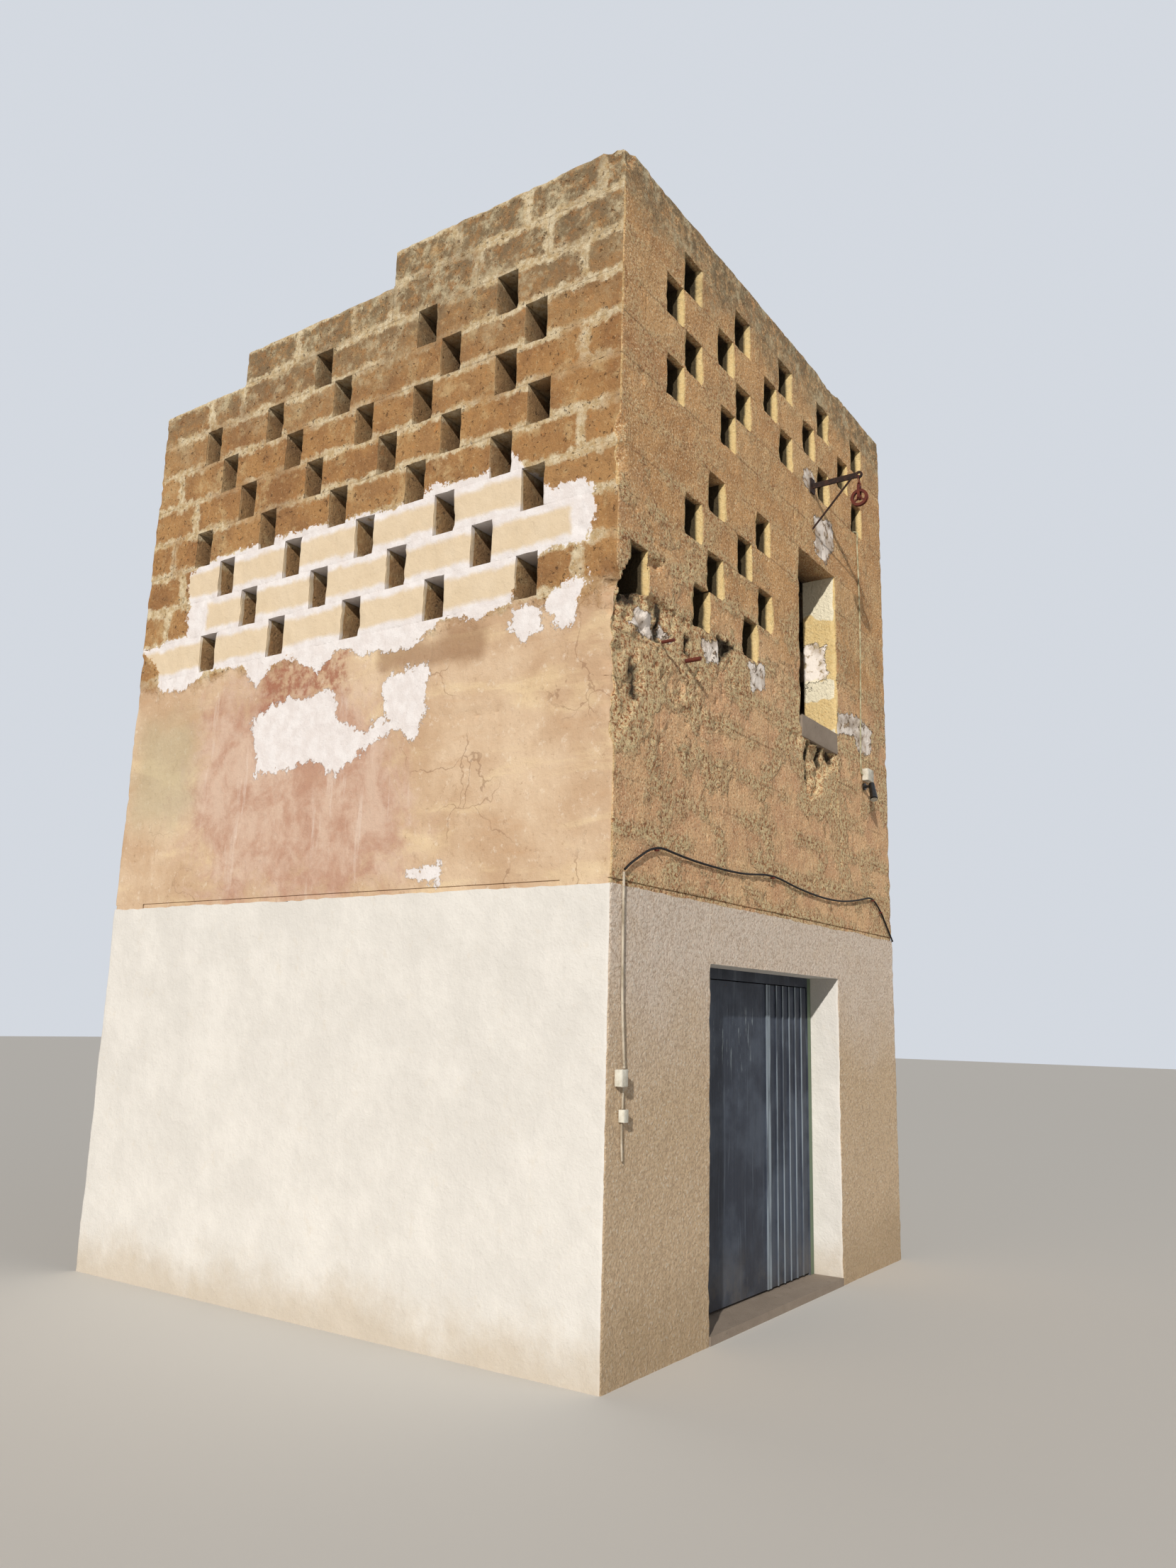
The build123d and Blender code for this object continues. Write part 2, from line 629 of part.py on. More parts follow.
# Pulley wheel: grooved rim, three spokes and a hub that turns on the axle
rim_profile = [
    (RIM_INNER_R, -WHEEL_HALF),
    (WHEEL_R, -WHEEL_HALF),
    (GROOVE_R, 0.0),
    (WHEEL_R, WHEEL_HALF),
    (RIM_INNER_R, WHEEL_HALF),
]
axle = Vector(hoist, ring_y, axle_z)
spoke_reach = (HUB_R + RIM_INNER_R) / 2
spoke_length = RIM_INNER_R - HUB_R + 2 * SPOKE_SINK
with BuildPart() as pulley_wheel:
    with BuildSketch(Plane(origin=axle, x_dir=(0, 1, 0), z_dir=(0, 0, -1))):
        with BuildLine():
            Polyline(*rim_profile, close=True)
        make_face()
    revolve(axis=Axis(axle, (1, 0, 0)))
    with BuildSketch(Plane.YZ.offset(hoist - SPOKE_THICK / 2)):
        with Locations((ring_y, axle_z)):
            with PolarLocations(spoke_reach, SPOKES, 90):
                Rectangle(spoke_length, SPOKE_WIDTH)
    extrude(amount=SPOKE_THICK)
    with BuildSketch(Plane.YZ.offset(hoist - HUB_HALF)):
        with Locations((ring_y, axle_z)):
            Circle(HUB_R)
    extrude(amount=2 * HUB_HALF)
    with BuildSketch(Plane.YZ.offset(hoist - HUB_HALF)):
        with Locations((ring_y, axle_z)):
            Circle(HUB_BORE_R)
    extrude(amount=2 * HUB_HALF, mode=Mode.SUBTRACT)
finish(pulley_wheel, "pulley_wheel")


def wall_box(name, boxes):
    """Small boxes on the door face as (x, z, width, height, depth), edges eased."""
    with BuildPart() as piece:
        for x, z, width, height, depth in boxes:
            with BuildSketch(Plane.XZ.offset(-FACE)):
                with Locations((across(x), z)):
                    RectangleRounded(width, height, depth / 8)
            extrude(amount=depth)
    finish(piece, name)


cable_hole = hole_edges(FRONT_HOLES[CABLE_COURSE], FRONT_HOLE)[-1][0]
wall_box("junction_boxes", [(cable_hole + JUNCTION_BOX[0], *JUNCTION_BOX[1:]), *CORNER_BOXES])

# Wall lamp: a round foot, a short arm and a hood that leans out and aside at its low end
lamp_x = across(cable_hole + LAMP_X)
hood_axis = Vector(*LAMP_AIM).normalized()
hood_start = Vector(lamp_x, FACE - LAMP_REACH, LAMP_Z) - hood_axis * LAMP_TOP_R
hood_plane = Plane(origin=hood_start, z_dir=hood_axis)
with BuildPart() as wall_lamp:
    with BuildSketch(Plane.XZ.offset(-FACE)):
        with Locations((lamp_x, LAMP_Z)):
            Circle(LAMP_FOOT_R)
    extrude(amount=LAMP_FOOT)
    with BuildSketch(Plane.XZ.offset(-FACE)):
        with Locations((lamp_x, LAMP_Z)):
            Circle(LAMP_ARM_R)
    extrude(amount=LAMP_REACH)
    with BuildSketch(hood_plane):
        Circle(LAMP_TOP_R)
    with BuildSketch(hood_plane.offset(LAMP_LENGTH)):
        Circle(LAMP_LOW_R)
    loft()
finish(wall_lamp, "wall_lamp")

# Conduit down the corner of the door face, in runs between its boxes
with BuildPart() as corner_conduit:
    for (top_x, top_z), (foot_x, foot_z) in CONDUIT_RUNS:
        run_y = FACE - CONDUIT_R - SEAT
        run_top = Vector(across(top_x), run_y, top_z)
        run = Vector(across(foot_x), run_y, foot_z) - run_top
        with BuildSketch(Plane(origin=run_top, z_dir=run)):
            Circle(CONDUIT_R)
        extrude(amount=run.length)
finish(corner_conduit, "corner_conduit")


def bend(before, here, after):
    """Radius of the arc at an inner point of a route, and the way into its inner side."""
    run_in = Vector(*here) - Vector(*before)
    run_out = Vector(*after) - Vector(*here)
    half_turn = math.radians(run_in.get_angle(run_out)) / 2
    radius = 0.45 * min(run_in.length, run_out.length) / math.tan(half_turn)
    inwards = (run_out.normalized() - run_in.normalized()).normalized()
    return radius, radius * (1 / math.cos(half_turn) - 1), inwards


def cable(name, points, radius):
    """A round cable along a route, each arc as large as its two runs allow."""
    bends = [bend(*near) for near in zip(points, points[1:], points[2:])]
    with BuildPart() as piece:
        with BuildLine() as path:
            FilletPolyline(*points, radius=[arc for arc, _, _ in bends])
        with BuildSketch(Plane(origin=path.line @ 0, z_dir=path.line % 0)):
            Circle(radius)
        sweep()
    finish(piece, name)


pale_points = [(across(cable_hole + x), FACE - out, z) for x, out, z in PALE_CABLE]
cable("pale_cable", pale_points, PALE_CABLE_R)
cable_y = FACE - CABLE_R - SEAT
dark_points = [(across(x), cable_y, z) for x, z, _ in CABLE_ROUTE]
cable("dark_cable", dark_points, CABLE_R)

# Nails that the dark cable hangs over, one in the inner side of each bend they hold
with BuildPart() as cable_nails:
    nailed = [held for _, _, held in CABLE_ROUTE[1:-1]]
    bends = zip(nailed, dark_points, dark_points[1:], dark_points[2:])
    for before, here, after in [near for held, *near in bends if held]:
        _, arc_drop, inwards = bend(before, here, after)
        nail = Vector(*here) + inwards * (arc_drop + CABLE_R + SEAT + NAIL_R)
        with BuildSketch(Plane.XZ.offset(-FACE)):
            with Locations((nail.X, nail.Z)):
                Circle(NAIL_R)
        extrude(amount=NAIL_LENGTH)
finish(cable_nails, "cable_nails")

# Iron pegs driven into the door face
with BuildPart() as iron_pegs:
    for x, z, length, radius in PEGS:
        with BuildSketch(Plane.XZ.offset(-FACE)):
            with Locations((across(x), z)):
                Circle(radius)
        extrude(amount=length)
finish(iron_pegs, "iron_pegs")
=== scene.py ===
"""Looks of a square stone dovecote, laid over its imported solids."""

import math
from collections import namedtuple

import bmesh
import bpy
from bpy.props import FloatProperty, FloatVectorProperty, IntProperty, PointerProperty
from mathutils import Matrix, Vector, noise


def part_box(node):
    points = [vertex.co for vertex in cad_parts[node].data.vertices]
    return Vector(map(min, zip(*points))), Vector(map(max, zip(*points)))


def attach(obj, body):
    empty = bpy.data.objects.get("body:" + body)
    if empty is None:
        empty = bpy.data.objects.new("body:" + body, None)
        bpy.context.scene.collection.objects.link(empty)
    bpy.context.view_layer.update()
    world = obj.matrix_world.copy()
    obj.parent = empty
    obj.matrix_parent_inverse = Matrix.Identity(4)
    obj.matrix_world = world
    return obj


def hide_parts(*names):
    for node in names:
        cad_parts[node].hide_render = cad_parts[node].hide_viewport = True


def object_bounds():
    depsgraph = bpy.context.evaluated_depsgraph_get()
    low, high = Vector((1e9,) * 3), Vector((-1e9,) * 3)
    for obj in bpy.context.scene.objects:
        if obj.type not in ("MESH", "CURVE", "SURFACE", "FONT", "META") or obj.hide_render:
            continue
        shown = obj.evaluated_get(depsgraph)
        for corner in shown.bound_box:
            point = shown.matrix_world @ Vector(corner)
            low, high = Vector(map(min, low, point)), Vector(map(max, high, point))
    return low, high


bl_info = {
    "name": "Stone Dovecote",
    "version": (1, 0, 0),
    "blender": (4, 5, 0),
    "location": "View3D > Sidebar > Dovecote",
    "description": "Builds the visible surfaces of a square stone dovecote",
    "category": "Add Mesh",
}

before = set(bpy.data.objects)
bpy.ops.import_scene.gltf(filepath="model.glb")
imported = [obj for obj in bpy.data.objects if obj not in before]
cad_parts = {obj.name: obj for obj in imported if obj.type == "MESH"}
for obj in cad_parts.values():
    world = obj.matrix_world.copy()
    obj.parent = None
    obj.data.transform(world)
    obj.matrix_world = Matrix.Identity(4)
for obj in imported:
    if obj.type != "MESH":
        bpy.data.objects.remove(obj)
CAD_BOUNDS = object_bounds()

HALF = CAD_BOUNDS[1].x                        # half the side of the square plan
SIDE = 2 * HALF
COURSE = 0.25                                 # height of one course of blocks
BLOCK_LENGTH = 0.5                            # the mean length of a block
WALL = 0.25                                   # thickness of the upper walls
LOWER_WALL = 0.30                             # and of those of the lower storey
LOWER_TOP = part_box("front_piers")[1].z
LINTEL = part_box("door_lintel")
DOOR = (LINTEL[0].x, LINTEL[1].x, LINTEL[0].z)
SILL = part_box("window_sill")
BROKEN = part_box("broken_masonry")
PARAPET_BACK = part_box("front_parapet")[1].y + HALF
POST_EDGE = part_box("door_frame_posts")[1].x
RIB_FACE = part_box("door_leaf_right")[0].y

# Courses are counted from 0 at the ground
LOWER_COURSES = 9
BACK_TOP_COURSE = 21
TOP_COURSE = 24


# ---------------------------------------------------------------- materials

def linear(colour):
    """An sRGB colour as the linear one that shaders work in."""
    return tuple(c / 12.92 if c <= 0.04045 else ((c + 0.055) / 1.055) ** 2.4 for c in colour)


class Signal:
    """What a node puts out, to be added to, multiplied and eased like a number."""

    def __init__(self, shades, socket):
        self.shades = shades
        self.socket = socket

    def __add__(self, other):
        return self.shades.sum("ADD", self, other)

    def __sub__(self, other):
        return self.shades.sum("SUBTRACT", self, other)

    def __rsub__(self, other):
        return self.shades.sum("SUBTRACT", other, self)

    def __mul__(self, other):
        return self.shades.sum("MULTIPLY", self, other)

    def __or__(self, other):
        """The larger of the two."""
        return self.shades.sum("MAXIMUM", self, other)

    def ease(self, low, high, start=0.0, end=1.0):
        """A smooth step from start to end as the value goes from low to high."""
        return self.shades.node("MapRange", "Result", {
            "Value": self, "From Min": low, "From Max": high, "To Min": start, "To Max": end,
        }, interpolation_type="SMOOTHSTEP")


class Shades:
    """Lays out the nodes of one material."""

    def __init__(self, name, roughness=0.9, metallic=0.0, specular=0.3):
        self.material = bpy.data.materials.new(name)
        self.material.use_nodes = True
        self.nodes = self.material.node_tree.nodes
        self.links = self.material.node_tree.links
        self.shader = self.nodes["Principled BSDF"]
        self.shader.inputs["Roughness"].default_value = roughness
        self.shader.inputs["Metallic"].default_value = metallic
        self.shader.inputs["Specular IOR Level"].default_value = specular
        self.place = self.node("TexCoord", "Object")

    def feed(self, socket, value):
        """Links a value that is a signal, and sets one that is a plain number or colour."""
        if isinstance(value, Signal):
            self.links.new(value.socket, socket)
        elif socket.type == "RGBA":
            socket.default_value = (*linear(value), 1.0)
        else:
            socket.default_value = value

    def node(self, kind, output, inputs=None, **settings):
        """Adds a node, feeds its inputs and gives one of its outputs."""
        node = self.nodes.new("ShaderNode" + kind)
        for name, value in settings.items():
            setattr(node, name, value)
        for name, value in (inputs or {}).items():
            self.feed(node.inputs[name], value)
        return Signal(self, node.outputs[output])

    def stretch(self, scale):
        return self.node("Mapping", "Vector", {"Vector": self.place, "Scale": scale})

    def grain(self, scale, detail=4.0, rough=0.55, bend=0.0, at=None):
        return self.node("TexNoise", "Fac", {
            "Vector": at or self.place, "Scale": scale, "Detail": detail, "Roughness": rough,
            "Distortion": bend})

    def bent(self, scale, amount):
        """Coordinates pushed about by noise, so that what is drawn on them is ragged."""
        push = self.node("TexNoise", "Color", {"Vector": self.place, "Scale": scale, "Detail": 4.0})
        return self.node("VectorMath", "Vector", {0: push, 1: (amount,) * 3, 2: self.place},
                         operation="MULTIPLY_ADD")

    def cells(self, scale, feature="F1", at=None):
        """Distance to the nearest cell's point or edge."""
        return self.node("TexVoronoi", "Distance", {"Vector": at or self.place, "Scale": scale},
                         feature=feature)

    def marks(self, name):
        """A value painted on the piece's own vertices."""
        return self.node("Attribute", "Fac", attribute_name=name)

    def sum(self, kind, a, b):
        return self.node("Math", "Value", {0: a, 1: b}, operation=kind)

    def blend(self, share, first, second):
        return self.node("Mix", "Result", {"Factor": share, "A": first, "B": second},
                         data_type="RGBA")

    def layers(self, base, *over):
        """Lays colours over a base, each by its own share."""
        for share, colour in over:
            base = self.blend(share, base, colour)
        return base

    def axis(self, name, place=None):
        return self.node("SeparateXYZ", name, {"Vector": place or self.place})

    def raise_by(self, height, distance, under=None):
        inputs = {"Strength": 1.0, "Distance": distance, "Height": height}
        if under:
            inputs["Normal"] = under
        return self.node("Bump", "Normal", inputs)

    def finish(self, colour, normal=None, roughness=None):
        for name, value in (("Base Color", colour), ("Normal", normal), ("Roughness", roughness)):
            if value is not None:
                self.feed(self.shader.inputs[name], value)
        return self.material


def crumbs(s, scale, share):
    """Ragged little cavities: 1 in one, and 0 on the surface between them."""
    return s.grain(scale, 3.0, 0.6, 0.5).ease(share, share - 0.09)


def smudge(s, along, upward, soft, push=0.30):
    """A ragged stain over a stretch of a side wall: 1 in its middle and 0 around it."""
    place = s.bent(3.5, push)
    share = 1.0
    for name, (low, high) in (("Y", along), ("Z", upward)):
        low, high = low + push / 2, high + push / 2
        for outer, inner in ((low, low + soft), (high, high - soft)):
            share = s.axis(name, place).ease(outer, inner) * share
    return share


def ragged(s, mark, coarse, fine, low=-0.003, high=0.004):
    """A painted patch with a torn outline: 1 inside it and 0 outside."""
    far = (s.grain(7.0, 4.0, 0.6, 0.4) - 0.5) * coarse
    near = (s.grain(21.0, 6.0, 0.75) - 0.5) * fine
    return (s.marks(mark) + (far + near)).ease(low, high)


def old_growth(s, base, start, full):
    """Grey and pale lichen that thickens towards the top of a wall."""
    rise = s.axis("Z") + s.grain(3.0, 6.0, 0.7) * 0.9
    share = rise.ease(start + 0.45, full + 0.45)
    grey = share * s.grain(20.0, 7.0, 0.75).ease(0.38, 0.55, 0.10, 0.85)
    pale = share * s.grain(8.0, 8.0, 0.75).ease(0.48, 0.66)
    return s.layers(base, (grey, (0.50, 0.44, 0.34)), (pale * 0.85, (0.86, 0.80, 0.66)))


def damp_foot(s):
    """Height above the ground, with a ragged level."""
    return s.axis("Z") - s.grain(2.5, 6.0, 0.7) * 0.6


def door_face_stone(colours):
    """Soft honey limestone: smooth blocks with crumbly, pitted stretches along their beds."""
    s = Shades("door_face_stone")
    broad = s.grain(5.0, 6.0, 0.62, 0.3)
    sand = s.grain(46.0, 5.0, 0.72)
    crumb = s.grain(54.0, 3.0, 0.62, 0.4)
    speck = s.grain(88.0, 2.0, 0.5)
    tone = s.marks("tone")
    rise = s.axis("Z") + s.grain(2.0, 4.0) * 1.2

    # Each block's own shade, darker and less red towards the top
    lower = s.blend(broad.ease(0.36, 0.62), colours.honey_red, colours.honey)
    upper = s.blend(broad.ease(0.34, 0.64), colours.honey_dark, (0.87, 0.68, 0.47))
    base = s.layers(
        s.blend(rise.ease(4.1, 4.9), lower, upper),
        (tone.ease(0.45, 0.05, 0.0, 0.40), (0.78, 0.58, 0.41)),
        (tone.ease(0.55, 1.00, 0.0, 0.45), (0.95, 0.82, 0.62)),
        (sand.ease(0.54, 0.66, 0.0, 0.40), (0.98, 0.88, 0.72)),
        (sand.ease(0.42, 0.33, 0.0, 0.35), (0.66, 0.48, 0.33)))

    # Loose stone along the beds, in patches and where the wall is marked for it
    wobble = (s.grain(6.5, 6.0, 0.68) - 0.5) * 0.17
    near_bed = (s.marks("bed") + wobble).ease(0.080, 0.012)
    near_bed = near_bed * s.grain(2.3, 4.0, 0.6).ease(0.38, 0.52, 0.05, 1.0)
    patches = s.grain(2.6, 6.0, 0.68, 0.5).ease(0.48, 0.60)
    marked = (s.marks("stain") + (broad - 0.5) * 0.5).ease(-0.06, 0.02)
    worn = s.marks("worn").ease(0.05, 0.5)
    sound = 1.0 - worn
    loose = ((near_bed | patches) * rise.ease(4.4, 5.4, 1.0, 0.45) | marked) * sound
    # The loose stone is painted paler on its raised crumbs and dark in its pits: painted highlight
    # and shade that follow the bumps
    pits = crumb.ease(0.43, 0.36) * loose.ease(0.0, 0.9, 0.35, 1.0) * sound
    line = s.marks("edge").ease(0.009, 0.003) * s.grain(3.0, 3.0).ease(0.48, 0.58)
    base = s.layers(
        base,
        (loose * 0.78, s.blend(crumb.ease(0.40, 0.56), (0.85, 0.61, 0.42), (1.0, 0.92, 0.72))),
        (speck.ease(0.56, 0.66, 0.0, 0.70), (1.0, 0.92, 0.76)),
        (speck.ease(0.42, 0.33, 0.0, 0.70), (0.52, 0.35, 0.22)),
        (worn * 0.8, s.blend(s.grain(30.0, 5.0), (0.90, 0.76, 0.49), (0.97, 0.90, 0.68))),
        (pits * 0.66, (0.46, 0.28, 0.17)),
        (line * 0.32, (0.42, 0.28, 0.17)))

    # Lichen, cement, the pale stone beside the window, and painted shade in clefts and deep in the
    # holes
    base = old_growth(s, base, 5.75, 6.15)
    smear = ragged(s, "smear", 0.08, 0.12) * s.grain(18.0, 5.0, 0.7).ease(0.30, 0.48, 0.15, 1.0)
    base = s.layers(
        base,
        (smear, s.blend(s.grain(9.0, 5.0).ease(0.36, 0.58), (0.76, 0.70, 0.64),
                        (0.97, 0.93, 0.89))),
        (ragged(s, "fresh", 0.5, 0.3, 0.45, 0.55), (0.97, 0.93, 0.82)),
        (s.marks("deep") * 0.92, (0.08, 0.055, 0.04)))

    calm = smear.ease(0.0, 1.0, 1.0, 0.3)
    lumps = s.grain(40.0, 7.0, 0.72) * (calm * loose.ease(0.0, 1.0, 0.65, 1.0))
    hollows = crumb * (calm * loose.ease(0.0, 1.0, 0.45, 1.0))
    normal = s.raise_by(hollows, 0.022, s.raise_by(lumps, 0.022))
    return s.finish(base, s.raise_by(smear, 0.005, normal))


def lime_wash(s, colours):
    """Colour of the old peach wash, with its cracks."""
    bands = s.grain(3.0, 5.0, 0.6, 0.4, s.stretch((0.45, 0.45, 2.0)))
    crack = s.cells(2.6, "DISTANCE_TO_EDGE", s.bent(5.0, 0.30)).ease(0.014, 0.004)
    crack = crack * s.grain(1.5, 3.0).ease(0.50, 0.62)
    return s.layers(
        s.blend(s.grain(1.8, 6.0, 0.6).ease(0.34, 0.66), colours.wash_dark, colours.wash),
        (bands.ease(0.50, 0.70, 0.0, 0.50), (0.92, 0.83, 0.67)),
        (bands.ease(0.44, 0.30, 0.0, 0.45), (0.77, 0.62, 0.48)),
        (s.grain(15.0, 8.0, 0.75).ease(0.55, 0.66, 0.0, 0.45), (0.93, 0.87, 0.79)),
        (s.grain(24.0, 8.0, 0.75).ease(0.42, 0.33, 0.0, 0.40), (0.60, 0.46, 0.34)),
        (crack * 0.45, (0.52, 0.38, 0.28)))


def side_stone(colours):
    """Blocks with pale joints above, old lime wash below, and a repaired pale stretch."""
    s = Shades("side_stone")
    edge = s.marks("edge")
    sand = s.grain(46.0, 6.0, 0.75)
    base = s.layers(
        s.blend(s.grain(4.0, 6.0, 0.65, 0.2).ease(0.32, 0.66), colours.block_dark, colours.block),
        (s.marks("tone").ease(0.35, 1.0, 0.0, 0.55), (0.80, 0.64, 0.44)),
        (s.grain(6.0, 7.0, 0.70, 0.3).ease(0.52, 0.66, 0.0, 0.60), (0.84, 0.72, 0.53)),
        (s.grain(17.0, 6.0, 0.7).ease(0.58, 0.68, 0.0, 0.5), (0.80, 0.53, 0.28)),
        (sand.ease(0.56, 0.68, 0.0, 0.5), (0.90, 0.80, 0.62)),
        (sand.ease(0.43, 0.33, 0.0, 0.50), (0.42, 0.29, 0.17)))
    base = old_growth(s, base, 5.05, 6.0)

    # Pale pointing in the joints
    wobble = (s.grain(9.0, 7.0, 0.72, 0.3) - 0.5) * 0.17
    joint = (edge + wobble).ease(0.044, 0.018) * s.grain(1.7, 4.0).ease(0.36, 0.50, 0.2, 1.0)
    line = edge.ease(0.008, 0.003) * s.grain(2.6, 3.0).ease(0.46, 0.60)
    base = s.layers(
        base,
        (joint * 0.9, s.blend(s.grain(24.0, 6.0, 0.7).ease(0.35, 0.65), (0.80, 0.69, 0.51),
                              (0.95, 0.89, 0.76))),
        (line * 0.25, (0.40, 0.28, 0.17)))

    # The wash, with its rose and other stains
    wash = (s.axis("Z") + s.grain(4.0, 7.0, 0.7) * 0.50).ease(4.02, 3.88)
    torn = s.grain(3.2, 8.0, 0.72, 0.5) - 0.5
    stain = (s.marks("stain") + torn * 1.3).ease(-0.12, 0.22)
    drip = s.grain(9.0, 6.0, 0.65, 0.2, s.stretch((1.0, 1.0, 0.13)))
    rose = s.layers(
        s.blend(s.grain(4.5, 7.0, 0.68, 0.3).ease(0.34, 0.64), (0.72, 0.55, 0.47),
                (0.83, 0.72, 0.645)),
        (drip.ease(0.56, 0.68, 0.0, 0.55), (0.89, 0.82, 0.77)))
    red = smudge(s, (-0.12, 0.72), (3.36, 3.74), 0.10)
    base = s.layers(
        base,
        (wash, lime_wash(s, colours)),
        (stain * 0.85, rose),
        (red * s.grain(14.0, 7.0, 0.72).ease(0.40, 0.60, 0.15, 0.85), (0.62, 0.39, 0.30)),
        (smudge(s, (-1.15, -0.25), (3.42, 3.74), 0.12) * 0.70, (0.60, 0.46, 0.34)),
        (smudge(s, (1.10, 2.00), (2.60, 3.60), 0.30) * 0.55, (0.72, 0.68, 0.56)))

    # The repair: new pale blocks in white mortar, and white smears
    white = s.blend(s.grain(12.0, 5.0).ease(0.35, 0.65), (0.885, 0.855, 0.845), (0.92, 0.90, 0.895))
    new_block = s.blend(s.grain(7.0, 4.0), (0.84, 0.755, 0.63), (0.89, 0.82, 0.715))
    band = edge + (s.grain(8.0, 5.0, 0.6) - 0.5) * 0.08
    repaired = s.blend(s.marks("fresh") * band.ease(0.022, 0.062), white, new_block)
    zone = ragged(s, "zone", 0.10, 0.17)
    smear = ragged(s, "smear", 0.15, 0.20)
    smooth = zone | (smear | wash * 0.85)
    # The pits' hollows are painted dark as their shade, and the deep mark paints shade in clefts and
    # deep in the holes
    pits = crumbs(s, 40.0, 0.38) * smooth.ease(0.3, 0.9, 1.0, 0.08)
    base = s.layers(
        base,
        (zone, repaired),
        (smear, white),
        (pits * 0.6, (0.32, 0.22, 0.13)),
        (s.marks("worn").ease(0.1, 0.8, 0.0, 0.35), (0.84, 0.74, 0.58)),
        (s.marks("deep") * 0.7, (0.16, 0.12, 0.08)))

    lumps = s.grain(26.0, 8.0, 0.72) * smooth.ease(0.0, 1.0, 1.0, 0.35)
    crust = (zone | smear) * 0.5
    return s.finish(base, s.raise_by(crust - pits, 0.008, s.raise_by(lumps, 0.024)))


def rough_cast(colours):
    """Thrown render with sharp little lumps, browner near the ground."""
    s = Shades("rough_cast", 0.95)
    gap = s.cells(52.0, at=s.bent(30.0, 0.030))
    lump = gap.ease(0.75, 0.10, 0.36, 0.56) + s.grain(105.0, 5.0, 0.72) * 0.62
    rise = s.axis("Z") + s.grain(1.6, 4.0) * 0.9
    # The raised tops of the lumps are painted paler and their hollows darker: painted highlight and
    # shade that follow the bumps
    base = s.layers(
        s.blend(rise.ease(1.6, 2.5), (0.93, 0.82, 0.68), colours.render),
        (s.grain(5.0, 7.0, 0.72).ease(0.50, 0.70, 0.0, 0.25), (0.92, 0.80, 0.64)),
        (lump.ease(0.79, 0.95, 0.0, 0.80), (1.0, 0.97, 0.92)),
        (lump.ease(0.73, 0.60, 0.0, 0.68), (0.72, 0.61, 0.51)),
        (damp_foot(s).ease(0.25, -0.25, 0.0, 0.45), (0.70, 0.60, 0.46)))
    return s.finish(base, s.raise_by(lump, 0.028))


def smooth_plaster(colours):
    """Pale plaster with a dirty foot."""
    s = Shades("smooth_plaster")
    base = s.layers(
        s.blend(s.grain(3.0, 6.0, 0.65).ease(0.35, 0.7), colours.plaster, (0.88, 0.865, 0.84)),
        (s.grain(9.0, 7.0, 0.75).ease(0.56, 0.70, 0.0, 0.22), (0.82, 0.77, 0.69)),
        (damp_foot(s).ease(0.05, -0.30, 0.0, 0.5), (0.70, 0.62, 0.50)))
    lumps = s.grain(12.0, 5.0, 0.6) + s.grain(70.0, 5.0, 0.7) * 0.3
    return s.finish(base, s.raise_by(lumps, 0.010))


def door_enamel(colours):
    """Dark blue-grey paint on pressed sheet: a painted highlight on its ribs, broken up like worn
    paint, with drips, dust and rust.
    """
    s = Shades("door_enamel", 0.6, 0.0, 0.22)
    x, y, z = (s.axis(name) for name in "XYZ")
    cloud = s.grain(3.2, 6.0, 0.6)
    streak = s.grain(30.0, 5.0, 0.6, 0.2, s.stretch((1.0, 1.0, 0.05)))
    drip = s.grain(46.0, 6.0, 0.75, 0.0, s.stretch((1.0, 1.0, 0.10)))
    scratch = s.grain(24.0, 5.0, 0.6, 0.0, s.stretch((1.0, 1.0, 0.08)))
    dripping = (z + cloud * 0.8).ease(1.45, 1.95) * (x.ease(0.02, -0.02) * z.ease(1.75, 1.60))
    # Painted highlight: the proud faces of the ribs are painted paler where they catch the light,
    # and broken up like worn paint
    rib_highlight = y.ease(RIB_FACE + 0.003, RIB_FACE + 0.001) * y.ease(RIB_FACE - 0.003, RIB_FACE - 0.001)
    dust = z.ease(0.45, 0.02) * s.grain(5.0, 6.0, 0.7).ease(0.40, 0.65, 0.1, 0.45)
    base = s.layers(
        s.blend(cloud.ease(0.35, 0.65), colours.door, (0.29, 0.32, 0.37)),
        (streak.ease(0.54, 0.70, 0.0, 0.40), (0.44, 0.47, 0.51)),
        (drip.ease(0.58, 0.64) * dripping * 0.6, (0.66, 0.71, 0.73)),
        (rib_highlight * scratch.ease(0.36, 0.56, 0.15, 0.8), (0.62, 0.67, 0.71)),
        (dust, (0.46, 0.43, 0.39)),
        (x.ease(POST_EDGE - 0.055, POST_EDGE - 0.045) * 0.7, (0.46, 0.53, 0.42)),
        (s.grain(22.0, 7.0, 0.75).ease(0.67, 0.70), (0.33, 0.17, 0.09)))
    return s.finish(base, s.raise_by(s.grain(9.0, 4.0), 0.003), streak.ease(0.3, 0.8, 0.50, 0.72))


def tile_clay():
    """Fired clay in each tile's own shade, with lichen."""
    s = Shades("tile_clay", 0.85)
    base = s.layers(
        s.blend(s.marks("tone"), (0.50, 0.30, 0.19), (0.74, 0.50, 0.34)),
        (s.grain(9.0, 7.0, 0.7).ease(0.48, 0.66, 0.0, 0.7), (0.38, 0.33, 0.26)),
        (s.grain(26.0, 6.0, 0.7).ease(0.60, 0.68, 0.0, 0.8), (0.70, 0.66, 0.52)))
    return s.finish(base, s.raise_by(s.grain(50.0, 6.0, 0.7), 0.004))


